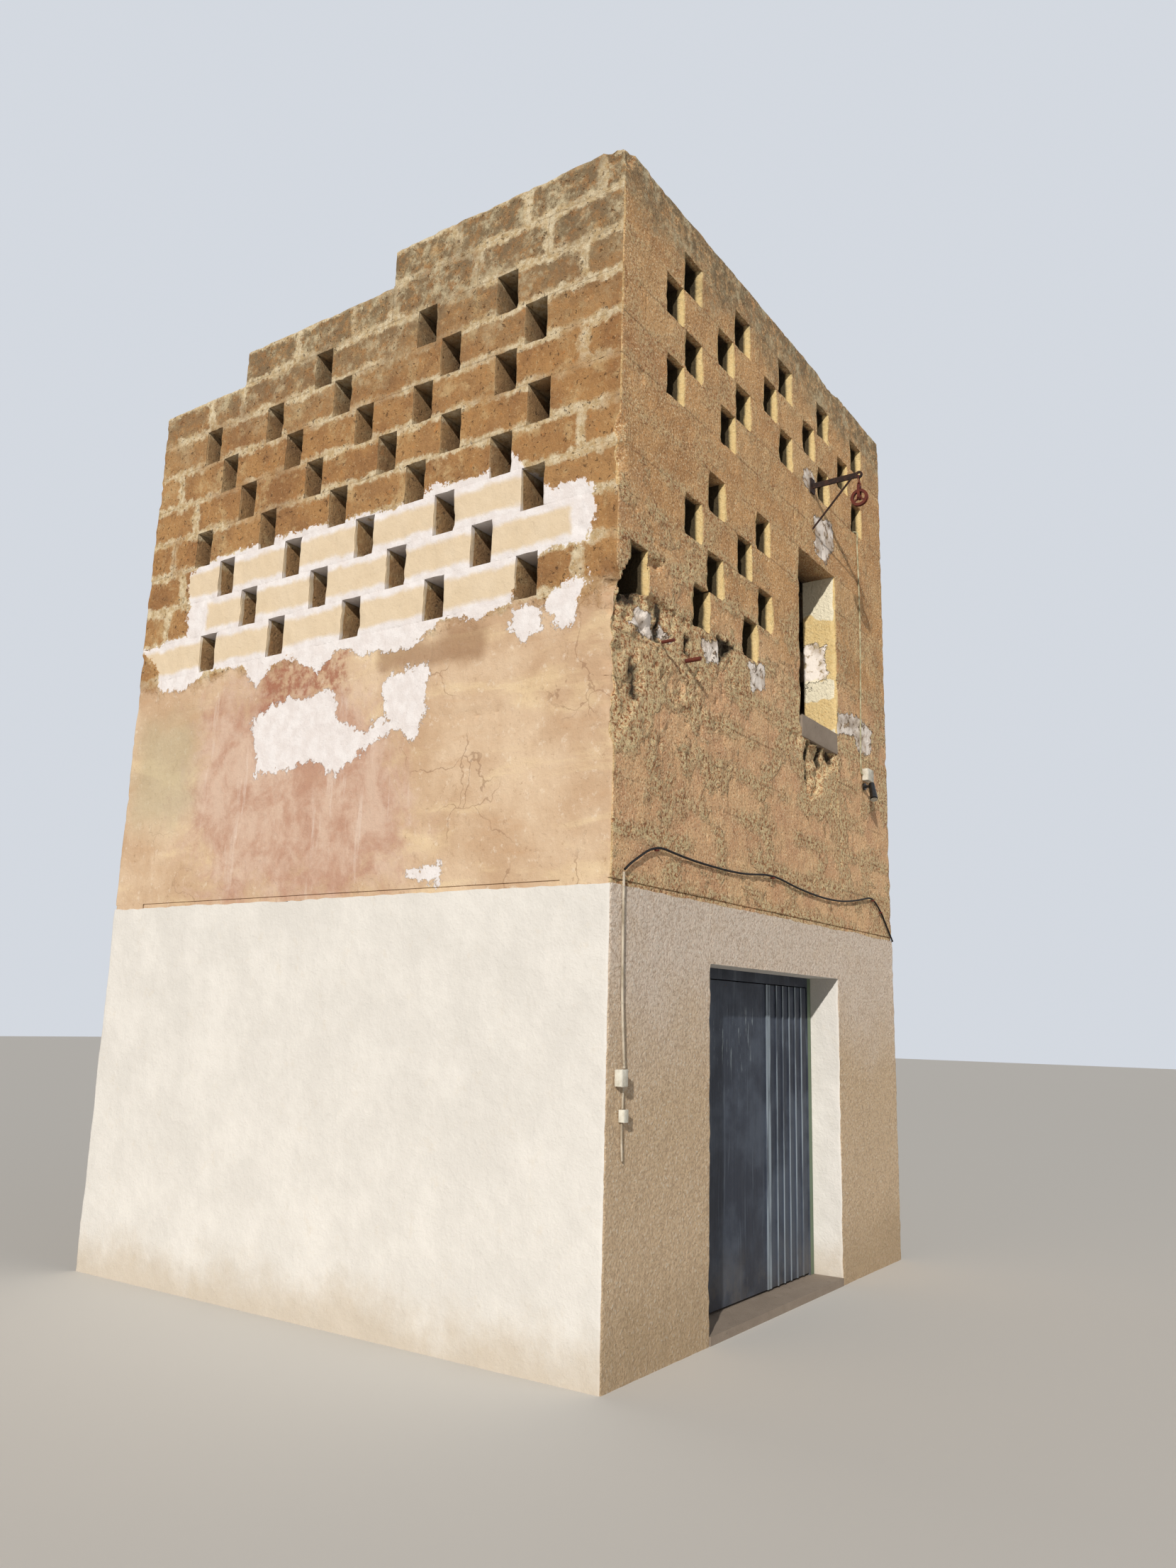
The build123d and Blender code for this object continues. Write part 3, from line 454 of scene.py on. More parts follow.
def sawn_timber(name, scale):
    """Old sawn wood. Its grain runs along the axis of the small scale."""
    s = Shades(name, 0.85)
    streak = s.grain(38.0, 6.0, 0.65, 0.5, s.stretch(scale))
    base = s.layers(
        s.blend(streak.ease(0.3, 0.7), (0.26, 0.19, 0.13), (0.50, 0.39, 0.28)),
        (s.grain(3.0, 5.0).ease(0.45, 0.7, 0.0, 0.5), (0.40, 0.36, 0.30)))
    return s.finish(base, s.raise_by(streak, 0.004))


def lamp_lens():
    """Dusty pressed glass."""
    s = Shades("lamp_lens", 0.12, 0.0, 0.5)
    gap = s.cells(160.0)
    base = s.blend(gap.ease(0.1, 0.6), (0.90, 0.90, 0.86), (0.62, 0.62, 0.58))
    return s.finish(base, s.raise_by(gap, 0.001))


# Simple materials: two shades mixed by grain, more grain laid over them, and raised grain
Coat = namedtuple("Coat", "grain ease dark light bump height over roughness metallic specular",
                  defaults=((), 0.9, 0.0, 0.3))
COATS = {
    "sill_concrete": Coat(
        (7.0, 6.0, 0.7), (), (0.50, 0.45, 0.40), (0.66, 0.60, 0.54), (60.0, 6.0, 0.7), 0.004,
        [((30.0, 5.0), (0.6, 0.75, 0.0, 0.5), (0.38, 0.34, 0.29))], 0.85),
    "floor_screed": Coat(
        (3.0, 7.0, 0.65), (), (0.44, 0.40, 0.35), (0.60, 0.56, 0.50), (45.0, 6.0, 0.7), 0.003),
    "rusty_iron": Coat(
        (34.0, 7.0, 0.7), (0.3, 0.65), "iron", (0.40, 0.17, 0.10), (150.0, 6.0, 0.75), 0.0015,
        [((90.0, 5.0, 0.7), (0.60, 0.72), (0.52, 0.26, 0.14))], 0.8, 0.0, 0.4),
    "black_iron": Coat(
        (50.0, 6.0, 0.7), (0.45, 0.7), (0.07, 0.06, 0.06), (0.22, 0.12, 0.08),
        (170.0, 5.0, 0.7), 0.001, [], 0.6, 0.4, 0.5),
    "brown_iron": Coat(
        (40.0, 6.0, 0.7), (0.40, 0.68), (0.12, 0.075, 0.06), (0.25, 0.155, 0.115),
        (150.0, 5.0, 0.7), 0.001, [], 0.75),
    "dusty_plastic": Coat(
        (12.0, 6.0, 0.7), (0.4, 0.7), (0.86, 0.85, 0.80), (0.70, 0.67, 0.60), (200.0, 3.0), 0.0004,
        [], 0.55),
    "faded_cable": Coat(
        (22.0, 5.0), (0.35, 0.65), (0.56, 0.54, 0.42), (0.74, 0.72, 0.60), (300.0, 3.0), 0.0006,
        [], 0.8),
    "weathered_conduit": Coat(
        (8.0, 6.0, 0.7), (0.35, 0.65), (0.60, 0.55, 0.47), (0.78, 0.74, 0.67), (150.0, 3.0), 0.0006,
        [((40.0, 5.0), (0.60, 0.72, 0.0, 0.6), (0.40, 0.35, 0.28))], 0.75),
    "lamp_black": Coat(
        (40.0, 6.0), (0.45, 0.75), (0.03, 0.03, 0.03), (0.16, 0.15, 0.14), (220.0, 3.0), 0.0004,
        [], 0.4, 0.0, 0.5),
    "cable_rubber": Coat(
        (60.0, 5.0), (), (0.04, 0.035, 0.035), (0.12, 0.10, 0.09), (240.0, 3.0), 0.0006, [], 0.65),
}


def coated(name, colours):
    """A simple material from its row in the table."""
    coat = COATS[name]
    s = Shades(name, coat.roughness, coat.metallic, coat.specular)
    share = s.grain(*coat.grain)
    dark = tuple(getattr(colours, coat.dark)) if isinstance(coat.dark, str) else coat.dark
    base = s.blend(share.ease(*coat.ease) if coat.ease else share, dark, coat.light)
    over = [(s.grain(*grain).ease(*ease), colour) for grain, ease, colour in coat.over]
    return s.finish(s.layers(base, *over), s.raise_by(s.grain(*coat.bump), coat.height))


WITH_COLOURS = {maker.__name__: maker for maker in (
    door_face_stone, side_stone, rough_cast, smooth_plaster, door_enamel)}
WITHOUT_COLOURS = {"tile_clay": tile_clay, "lamp_lens": lamp_lens,
                   "timber_x": lambda: sawn_timber("timber_x", (0.06, 1.0, 1.0)),
                   "timber_y": lambda: sawn_timber("timber_y", (1.0, 0.06, 1.0))}
MATERIALS = {}


def material(name):
    """The named material, made the first time it is asked for."""
    if name not in MATERIALS:
        colours = bpy.context.scene.dovecote_colours
        if name in COATS:
            MATERIALS[name] = coated(name, colours)
        elif name in WITH_COLOURS:
            MATERIALS[name] = WITH_COLOURS[name](colours)
        else:
            MATERIALS[name] = WITHOUT_COLOURS[name]()
    return MATERIALS[name]


def dress(name, *nodes):
    """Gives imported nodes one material."""
    for node in nodes:
        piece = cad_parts[node]
        piece.data.materials.clear()
        piece.data.materials.append(material(name))


# ---------------------------------------------------------------- masonry

class Face:
    """One side of the tower: u runs along it, z up and depth into the wall."""

    def __init__(self, corner, along, inward, cell, rough, wear):
        self.corner = Vector((*corner, 0.0))
        self.along = Vector((*along, 0.0))
        self.inward = Vector((*inward, 0.0))
        self.cell = cell          # size of the surface's grid
        self.rough = rough        # how deep its lumps and pits are
        self.wear = wear          # how far the edges of its holes are worn

    def at(self, u, z, depth):
        return self.corner + self.along * u + self.inward * depth + Vector((0.0, 0.0, z))

    def span(self, low, high):
        """Where a box starts and ends along this side."""
        ends = sorted((p - self.corner).dot(self.along) for p in (low, high))
        return ends[0], ends[1]


FACES = {
    "front": Face((-HALF, -HALF), (1, 0), (0, 1), 0.022, 0.45, 0.046),
    "left": Face((-HALF, -HALF), (0, 1), (1, 0), 0.028, 0.6, 0.015),
    "right": Face((HALF, -HALF), (0, 1), (-1, 0), 0.040, 0.4, 0.014),
    "back": Face((-HALF, HALF), (1, 0), (0, -1), 0.040, 0.6, 0.014),
}
ROUND_CORNER = {"front": ("left", "right"), "back": ("left", "right"),
                "left": ("front", "back"), "right": ("front", "back")}
ROW_NODES = {
    "front": ["front_wall_middle", "front_wall_beside_sill", "front_hole_courses_a",
              "front_hole_courses_b", "front_parapet"],
    "left": ["side_walls_middle", "side_hole_courses_a", "side_hole_courses_b"],
    "right": ["side_walls_middle", "side_hole_courses_a", "side_hole_courses_b"],
    "back": ["back_wall_middle", "back_hole_courses_a", "back_hole_courses_b"],
}
Block = namedtuple(
    "Block", "start end low high depth wear_start wear_end wear_top outer shade fresh")
# The deep mark is painted shade: it darkens the stone in clefts and deep in the holes, where shade
# falls
MARKS = ("tone", "edge", "bed", "worn", "zone", "smear", "stain", "fresh", "deep")
# Values of a block's fresh mark where it stands beside the window: right of it and left of it
RIGHT_REVEAL, LEFT_REVEAL = -1.0, -2.0

CORNER_WEAR = 0.022          # how far the tower's own corners are worn
TOP_WEAR = 0.03              # and the upper edges that nothing stands on
WIDE_GAP = 0.3               # a gap between blocks wider than a pigeon hole
WASHED = 3.72                # the left side is washed and smooth below this height
# Depth in a hole where its painted shade starts, and over how much more it turns black
PAINTED_SHADE_FRONT, PAINTED_SHADE_SIDES = (0.028, 0.016), (0.06, 0.08)
TOUCH = 1e-6                 # nearer than this counts as on the same line

# Outlines of patches on the walls, as points (along the wall, up from the ground)
REPAIR_OUTLINE = [
    (3.86, 3.99), (3.40, 4.03), (3.44, 4.45), (3.27, 4.52), (2.63, 4.55), (2.10, 4.53),
    (1.55, 4.50), (1.31, 4.56), (0.99, 4.53), (0.69, 4.59), (0.58, 4.47), (0.44, 4.34),
    (0.19, 4.34), (0.13, 4.11), (0.20, 3.98), (0.43, 3.99), (0.62, 3.94), (0.66, 3.73),
    (0.88, 3.70), (1.16, 3.73), (1.39, 3.61), (1.69, 3.62), (1.95, 3.68), (2.14, 3.57),
    (2.36, 3.70), (2.53, 3.70), (2.66, 3.54), (2.79, 3.72), (3.14, 3.75), (3.36, 3.65),
    (3.62, 3.68), (3.70, 3.86)]
SMEARS = {
    "front": [
        [(0.17, 3.57), (0.24, 3.67), (0.40, 3.70), (0.43, 3.55), (0.31, 3.53)],
        [(0.45, 3.57), (0.45, 3.66), (0.55, 3.63), (0.56, 3.57)],
        [(0.91, 3.69), (1.08, 3.73), (1.10, 3.59), (0.95, 3.58)],
        [(1.49, 3.72), (1.70, 3.76), (1.72, 3.60), (1.53, 3.56)],
        [(2.53, 5.09), (2.84, 5.15), (2.89, 4.99), (2.74, 4.80), (2.53, 4.81)],
        [(2.89, 3.75), (3.25, 3.81), (3.56, 3.76), (3.52, 3.57), (3.27, 3.54), (3.20, 3.64),
         (2.89, 3.60)],
        [(2.35, 5.37), (2.50, 5.42), (2.57, 5.35), (2.48, 5.24), (2.34, 5.26)]],
    "left": [
        [(2.67, 3.34), (2.33, 3.47), (2.22, 3.41), (1.96, 3.47), (1.91, 3.27), (1.68, 3.15),
         (1.66, 3.24), (1.50, 3.20), (1.58, 3.44), (1.38, 3.50), (1.23, 3.47), (1.25, 3.30),
         (1.29, 3.06), (1.44, 3.14), (1.64, 3.08), (1.88, 2.94), (2.11, 3.01), (2.59, 3.01)],
        [(0.67, 3.71), (0.52, 3.72), (0.46, 3.65), (0.47, 3.54), (0.59, 3.53), (0.67, 3.60)],
        [(0.42, 3.76), (0.30, 3.79), (0.17, 3.80), (0.16, 3.74), (0.24, 3.67), (0.26, 3.55),
         (0.37, 3.54), (0.43, 3.67)],
        [(1.32, 2.33), (1.07, 2.37), (1.05, 2.26)]],
    "right": [[(1.1, 4.0), (1.5, 4.1), (1.6, 3.8), (1.2, 3.7)]],
    "back": [[(2.9, 4.6), (3.3, 4.7), (3.3, 4.3), (3.0, 4.2)]],
}
STAINS = {
    "front": [[(-0.05, 3.76), (1.40, 3.76), (1.34, 3.62), (0.95, 3.47), (0.52, 3.42), (0.42, 3.22),
               (0.20, 2.95), (-0.05, 2.86)],
              [(1.90, 3.50), (2.30, 3.52), (2.30, 3.34), (1.95, 3.36)],
              [(2.24, 2.98), (2.92, 2.98), (2.90, 3.52), (2.24, 3.52)]],
    "left": [[(3.26, 3.50), (2.90, 3.62), (1.74, 3.45), (1.30, 3.01), (1.22, 2.60), (1.50, 2.20),
              (3.00, 2.20), (3.30, 2.80)]],
    "right": [[(0.8, 3.3), (2.0, 3.4), (2.2, 2.5), (1.0, 2.4)]],
    "back": [[(2.0, 3.4), (3.2, 3.3), (3.0, 2.5), (1.8, 2.5)]],
}
NEW_BLOCKS = [(0.642, 3.88, 3.75, 4.0), (0.15, 3.43, 4.0, 4.25), (0.622, 3.43, 4.25, 4.5)]
# Places where the stone is broken back, as (outline, depth)
BREAKS = {
    "front": [
        ([(0.012, 3.735), (0.12, 3.87), (0.19, 3.99), (0.24, 3.99), (0.24, 3.715),
          (0.08, 3.70)], 0.17),
        ([(-0.05, 3.76), (0.62, 3.76), (0.60, 3.60), (0.44, 3.52), (0.25, 3.46),
          (-0.05, 3.42)], 0.035),
        ([(0.03, 3.76), (0.26, 3.76), (0.20, 3.66), (0.06, 3.64)], 0.075),
        ([(0.42, 3.75), (0.47, 3.73), (0.46, 3.52), (0.43, 3.54)], 0.08),
        ([(0.70, 3.66), (0.75, 3.64), (0.74, 3.54), (0.71, 3.55)], 0.08),
        ([(-0.05, 3.44), (0.22, 3.46), (0.30, 3.30), (0.22, 3.14), (0.08, 2.95),
          (-0.05, 2.90)], 0.030),
        ([(0.18, 3.38), (0.24, 3.36), (0.24, 3.16), (0.19, 3.20)], 0.07),
        ([(0.46, 3.42), (0.72, 3.40), (0.70, 3.28), (0.48, 3.26)], 0.020),
        ([(1.08, 3.76), (1.30, 3.76), (1.22, 3.68), (1.12, 3.62)], 0.07),
        ([(0.30, 3.98), (0.50, 4.01), (0.44, 3.93), (0.31, 3.91)], 0.030),
        ([(0.18, 5.00), (0.22, 5.00), (0.22, 4.82), (0.19, 4.82)], 0.06),
        ([(1.90, 3.46), (2.26, 3.44), (2.24, 3.34), (1.96, 3.36)], 0.020),
        ([(2.30, 3.38), (2.84, 3.50), (2.82, 3.32), (2.62, 3.22), (2.60, 3.10), (2.38, 3.03),
          (2.31, 3.17)], 0.045),
        ([(2.35, 3.42), (2.43, 3.44), (2.41, 3.30), (2.43, 3.17), (2.36, 3.17),
          (2.34, 3.30)], 0.10),
        ([(2.56, 3.47), (2.63, 3.47), (2.62, 3.29), (2.58, 3.29)], 0.10),
        ([(2.74, 3.49), (2.81, 3.50), (2.81, 3.36), (2.77, 3.36)], 0.09),
        ([(2.43, 3.45), (2.80, 3.50), (2.80, 3.46), (2.44, 3.42)], 0.05),
        ([(-0.05, 4.72), (0.05, 4.60), (0.06, 4.30), (-0.05, 4.22)], 0.030),
        ([(-0.05, 6.40), (0.12, 6.40), (0.10, 6.16), (-0.05, 6.10)], 0.030),
        ([(2.60, 6.40), (3.10, 6.40), (3.00, 6.20), (2.70, 6.18)], 0.020)],
    "left": [
        ([(-0.05, 3.86), (0.05, 3.78), (0.06, 3.60), (-0.05, 3.50)], 0.040),
        ([(-0.05, 3.44), (0.05, 3.34), (0.04, 3.10), (-0.05, 3.00)], 0.025),
        ([(0.62, 3.165), (1.20, 3.185), (1.18, 3.15), (0.64, 3.13)], 0.022),
        ([(-0.05, 6.40), (0.16, 6.40), (0.12, 6.16), (-0.05, 6.12)], 0.030)],
    "right": [([(3.2, 3.9), (3.6, 4.0), (3.5, 3.7), (3.3, 3.6)], 0.03)],
    "back": [([(0.4, 4.1), (0.8, 4.2), (0.8, 3.9), (0.5, 3.9)], 0.03)],
}


def solids(node):
    """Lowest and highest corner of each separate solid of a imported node."""
    bm = bmesh.new()
    bm.from_mesh(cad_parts[node].data)
    bmesh.ops.remove_doubles(bm, verts=bm.verts, dist=1e-5)
    found, seen = [], set()
    for start in bm.verts:
        if start in seen:
            continue
        group, queue = [], [start]
        seen.add(start)
        while queue:
            vertex = queue.pop()
            group.append(vertex.co)
            for edge in vertex.link_edges:
                other = edge.other_vert(vertex)
                if other not in seen:
                    seen.add(other)
                    queue.append(other)
        found.append((Vector(min(c[i] for c in group) for i in range(3)),
                      Vector(max(c[i] for c in group) for i in range(3))))
    bm.free()
    return found


def linked(elements, kind):
    """What mesh elements are linked to, each once and in the order in which it is met."""
    return list(dict.fromkeys(other for element in elements for other in getattr(element, kind)))


def clamp(value):
    return max(0.0, min(1.0, value))


def at_corner(u):
    """Whether a place along a side is at a corner of the tower."""
    return u < 0.01 or u > SIDE - 0.01


def joined(stretches):
    """Stretches with those that touch made one."""
    result = []
    for start, end in sorted(stretches):
        if result and start - result[-1][1] < 0.001:
            result[-1][1] = max(end, result[-1][1])
        else:
            result.append([start, end])
    return result


def step_ends():
    """How far the two steps of the side walls reach from the door face."""
    points = [v.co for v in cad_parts["crow_steps"].data.vertices]
    top = max(c.z for c in points)
    return (max(c.y for c in points if c.z > top - 0.01) + HALF,
            max(c.y for c in points) + HALF)


def masonry_rows():
    """Stretches of solid wall in each course of each side."""
    rows = {side: {} for side in FACES}
    for side, nodes in ROW_NODES.items():
        face = FACES[side]
        for node in nodes:
            for low, high in solids(node):
                if abs(face.inward.x) > 0 and (low.x + high.x) * face.inward.x > 0:
                    continue
                for course in range(round(low.z / COURSE), round(high.z / COURSE)):
                    rows[side].setdefault(course, []).append(face.span(low, high))
    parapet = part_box("front_parapet")
    high_end, low_end = step_ends()
    for side in ("left", "right"):
        rows[side][TOP_COURSE - 1] = [(WALL, low_end)]
        rows[side][TOP_COURSE] = [(parapet[1].y - parapet[0].y, high_end)]
    for courses in rows.values():
        for course in courses:
            courses[course] = joined(courses[course])
    lap_corners(rows)
    return rows


def lap_corners(rows):
    """In every odd course the side walls' blocks run to the corners instead of the others."""
    for course in range(LOWER_COURSES, TOP_COURSE, 2):
        for end_wall, at_start in (("front", True), ("back", False)):
            if course not in rows[end_wall]:
                continue
            stretches = rows[end_wall][course]
            for side, first in (("left", True), ("right", False)):
                near = stretches[0] if first else stretches[-1]
                if near[1] - near[0] < WALL + 0.15:
                    continue
                if first:
                    near[0] += WALL
                else:
                    near[1] -= WALL
                reach = rows[side][course]
                if at_start:
                    reach[0][0] = 0.0
                else:
                    reach[-1][1] = SIDE


def cut_points(start, end, extra=()):
    """Joints between the blocks of a stretch, about a block's length apart."""
    count = max(1, round((end - start) / BLOCK_LENGTH))
    points = [start + (end - start) * k / count for k in range(count + 1)]
    for point in extra:
        if start + 0.1 < point < end - 0.1:
            nearest = min(points[1:-1] or [point], key=lambda p: abs(p - point))
            if abs(nearest - point) < 0.2 and nearest in points[1:-1]:
                points[points.index(nearest)] = point
            else:
                points.append(point)
    return sorted(points)


def blocks_of(side, rows):
    """Every block of one side, with how far each of its edges is worn."""
    face = FACES[side]
    high_end, low_end = step_ends()
    random = Vector((3.7, 1.9, {"front": 0.3, "left": 5.1, "right": 9.7, "back": 13.1}[side]))
    for course, stretches in sorted(rows[side].items()):
        steps = {TOP_COURSE - 1: [high_end], TOP_COURSE - 2: [low_end]}.get(course, [])
        filled = side == "front" and BROKEN[0].z - 0.01 < course * COURSE < BROKEN[1].z
        for index, (start, end) in enumerate(stretches):
            points = cut_points(start, end, steps if side in ("left", "right") else ())
            gap_before = start - stretches[index - 1][1] if index else 0.0
            gap_after = stretches[index + 1][0] - end if index + 1 < len(stretches) else 0.0
            for k, (low_u, high_u) in enumerate(zip(points, points[1:])):
                beside_right = k == 0 and gap_before > WIDE_GAP
                beside_left = k == len(points) - 2 and gap_after > WIDE_GAP
                shows_start = k == 0 and not (meets_wall(side, low_u) or filled and beside_right)
                shows_end = k == len(points) - 2 and not (meets_wall(side, high_u)
                                                          or filled and beside_left)
                corner = at_corner(low_u) or at_corner(high_u)
                wear = CORNER_WEAR if corner else face.wear
                middle = ((low_u + high_u) / 2, (course + 0.5) * COURSE)
                top = is_top(side, course, middle[0], high_end, low_end)
                parapet = side == "front" and course == TOP_COURSE
                shade = 0.5 + 0.5 * noise.noise(
                    random * (course + 1.37) + Vector((low_u * 3.1, 0, course)))
                fresh = float(side == "left" and any(a < middle[0] < b and c < middle[1] < d
                                                     for a, b, c, d in NEW_BLOCKS))
                if side == "front" and beside_right:
                    fresh = RIGHT_REVEAL
                elif side == "front" and beside_left:
                    fresh = LEFT_REVEAL
                outer = corner or top or course >= TOP_COURSE - 1 and (shows_start or shows_end)
                yield Block(low_u, high_u, course * COURSE, (course + 1) * COURSE,
                            PARAPET_BACK if parapet else WALL, wear if shows_start else 0.0,
                            wear if shows_end else 0.0, TOP_WEAR if top else 0.0, outer,
                            clamp(shade), fresh)


def meets_wall(side, u):
    """Whether the end of a stretch butts against a block of the wall round the corner."""
    walls = [WALL, SIDE - WALL] + ([PARAPET_BACK] if side in ("left", "right") else [])
    return any(abs(u - wall) < 0.02 for wall in walls)


def is_top(side, course, middle, high_end, low_end):
    """Whether nothing stands on this block."""
    if side == "back":
        return course == BACK_TOP_COURSE
    if side == "front":
        return course == TOP_COURSE
    return (course == TOP_COURSE or (course == TOP_COURSE - 1 and middle > high_end)
            or (course == TOP_COURSE - 2 and middle > low_end))


def grid_lines(length, cell, wear_start, wear_end):
    """Grid lines along one edge of a block, closer together where the edge is worn."""
    def edge(wear):
        if wear:
            return [0.0, wear * 0.25, wear * 0.55, wear * 0.8, wear]
        return [0.0, 0.007]

    first, last = edge(wear_start), [length - x for x in reversed(edge(wear_end))]
    room = last[0] - first[-1]
    count = max(1, round(room / cell))
    middle = [first[-1] + room * k / count for k in range(1, count)]
    return first + middle + last


def inside(u, z, outline):
    """How far a point lies inside a closed outline, negative outside it."""
    nearest, within = 9.0, False
    for (u0, z0), (u1, z1) in zip(outline, outline[1:] + outline[:1]):
        du, dz = u1 - u0, z1 - z0
        share = clamp(((u - u0) * du + (z - z0) * dz) / (du * du + dz * dz))
        nearest = min(nearest, math.hypot(u - u0 - share * du, z - z0 - share * dz))
        if (z0 > z) != (z1 > z) and u < u0 + (z - z0) * du / dz:
            within = not within
    return nearest if within else -nearest


def deepest(u, z, outlines):
    """How far a point lies inside the nearest of some outlines."""
    return max((inside(u, z, outline) for outline in outlines), default=-1.0)


def broken(side, u, z):
    """Extra depth where the stone is broken back, and how much painted shade a cleft gets there."""
    depth, dark = 0.0, 0.0
    for outline, deep in BREAKS[side]:
        if not min(p[1] for p in outline) - 0.05 < z < max(p[1] for p in outline) + 0.05:
            continue
        within = inside(u, z, outline) + 0.022 * noise.noise(Vector((u * 28.0, z * 28.0, deep)))
        if within > 0.0:
            ripple = 0.75 + 0.9 * noise.noise(Vector((u * 13.0, z * 13.0, deep * 90.0)))
            depth = max(depth, deep * min(1.0, within / 0.035) ** 0.5 * max(0.2, ripple))
        if deep > 0.06:
            margin = 0.010 if deep < 0.12 else -0.030
            dark = max(dark, min(1.0, (within + margin) / 0.014))
    return depth, dark


def stone_relief(side, point, u, z):
    """How far the weathered surface lies behind the wall's plane."""
    rough = FACES[side].rough
    if side == "left" and z < WASHED:
        rough = 0.22
    elif side == "front":           # the crumbled stretch by the left corner
        rough += 0.55 * max(0.0, min(1.0, (3.85 - z) / 0.1, (z - 2.85) / 0.2, (1.4 - u) / 0.2))
    swell = 0.003 * noise.noise(point * 1.7)
    lumps = 0.0065 * rough * noise.fractal(point * 12.0, 0.7, 2.1, 4)
    pits = 0.024 * rough * max(0.0, noise.noise(point * 25.0) - 0.12)
    return max(0.0005, 0.007 + swell + lumps + pits + broken(side, u, z)[0])


def skin_relief(side, point, u, z):
    """Surface of the render, which is smooth plaster on the left side."""
    if side == "left":
        swell = 0.003 * noise.noise(point * 2.5)
        return max(0.0005, 0.003 + swell + 0.0012 * noise.noise(point * 11.0))
    lumps = 0.004 * noise.fractal(point * 16.0, 0.8, 2.1, 3)
    return max(0.0005, 0.004 + 0.003 * noise.noise(point * 2.0) + lumps)


class Spot:
    """A vertex of a plain block, and where on the tower it is."""

    def __init__(self, side, block, place, wave):
        self.block = block
        self.u, self.z, self.depth = place
        self.point = FACES[side].at(*place)
        self.front = self.depth < TOUCH
        self.at_start = self.u - block.start < TOUCH
        self.at_end = block.end - self.u < TOUCH
        # Round a corner of the tower the block is seen as a part of the next side
        round_corner = not self.front and (self.at_start and at_corner(block.start)
                                           or self.at_end and at_corner(block.end))
        self.own = not round_corner
        self.side, self.along = side, self.u
        if round_corner:
            self.side = ROUND_CORNER[side][0 if self.at_start else 1]
            self.along = (self.point - FACES[self.side].corner).dot(FACES[self.side].along)
        if wave is not None and block.high - self.z < TOUCH:
            self.z += wave(self.point)


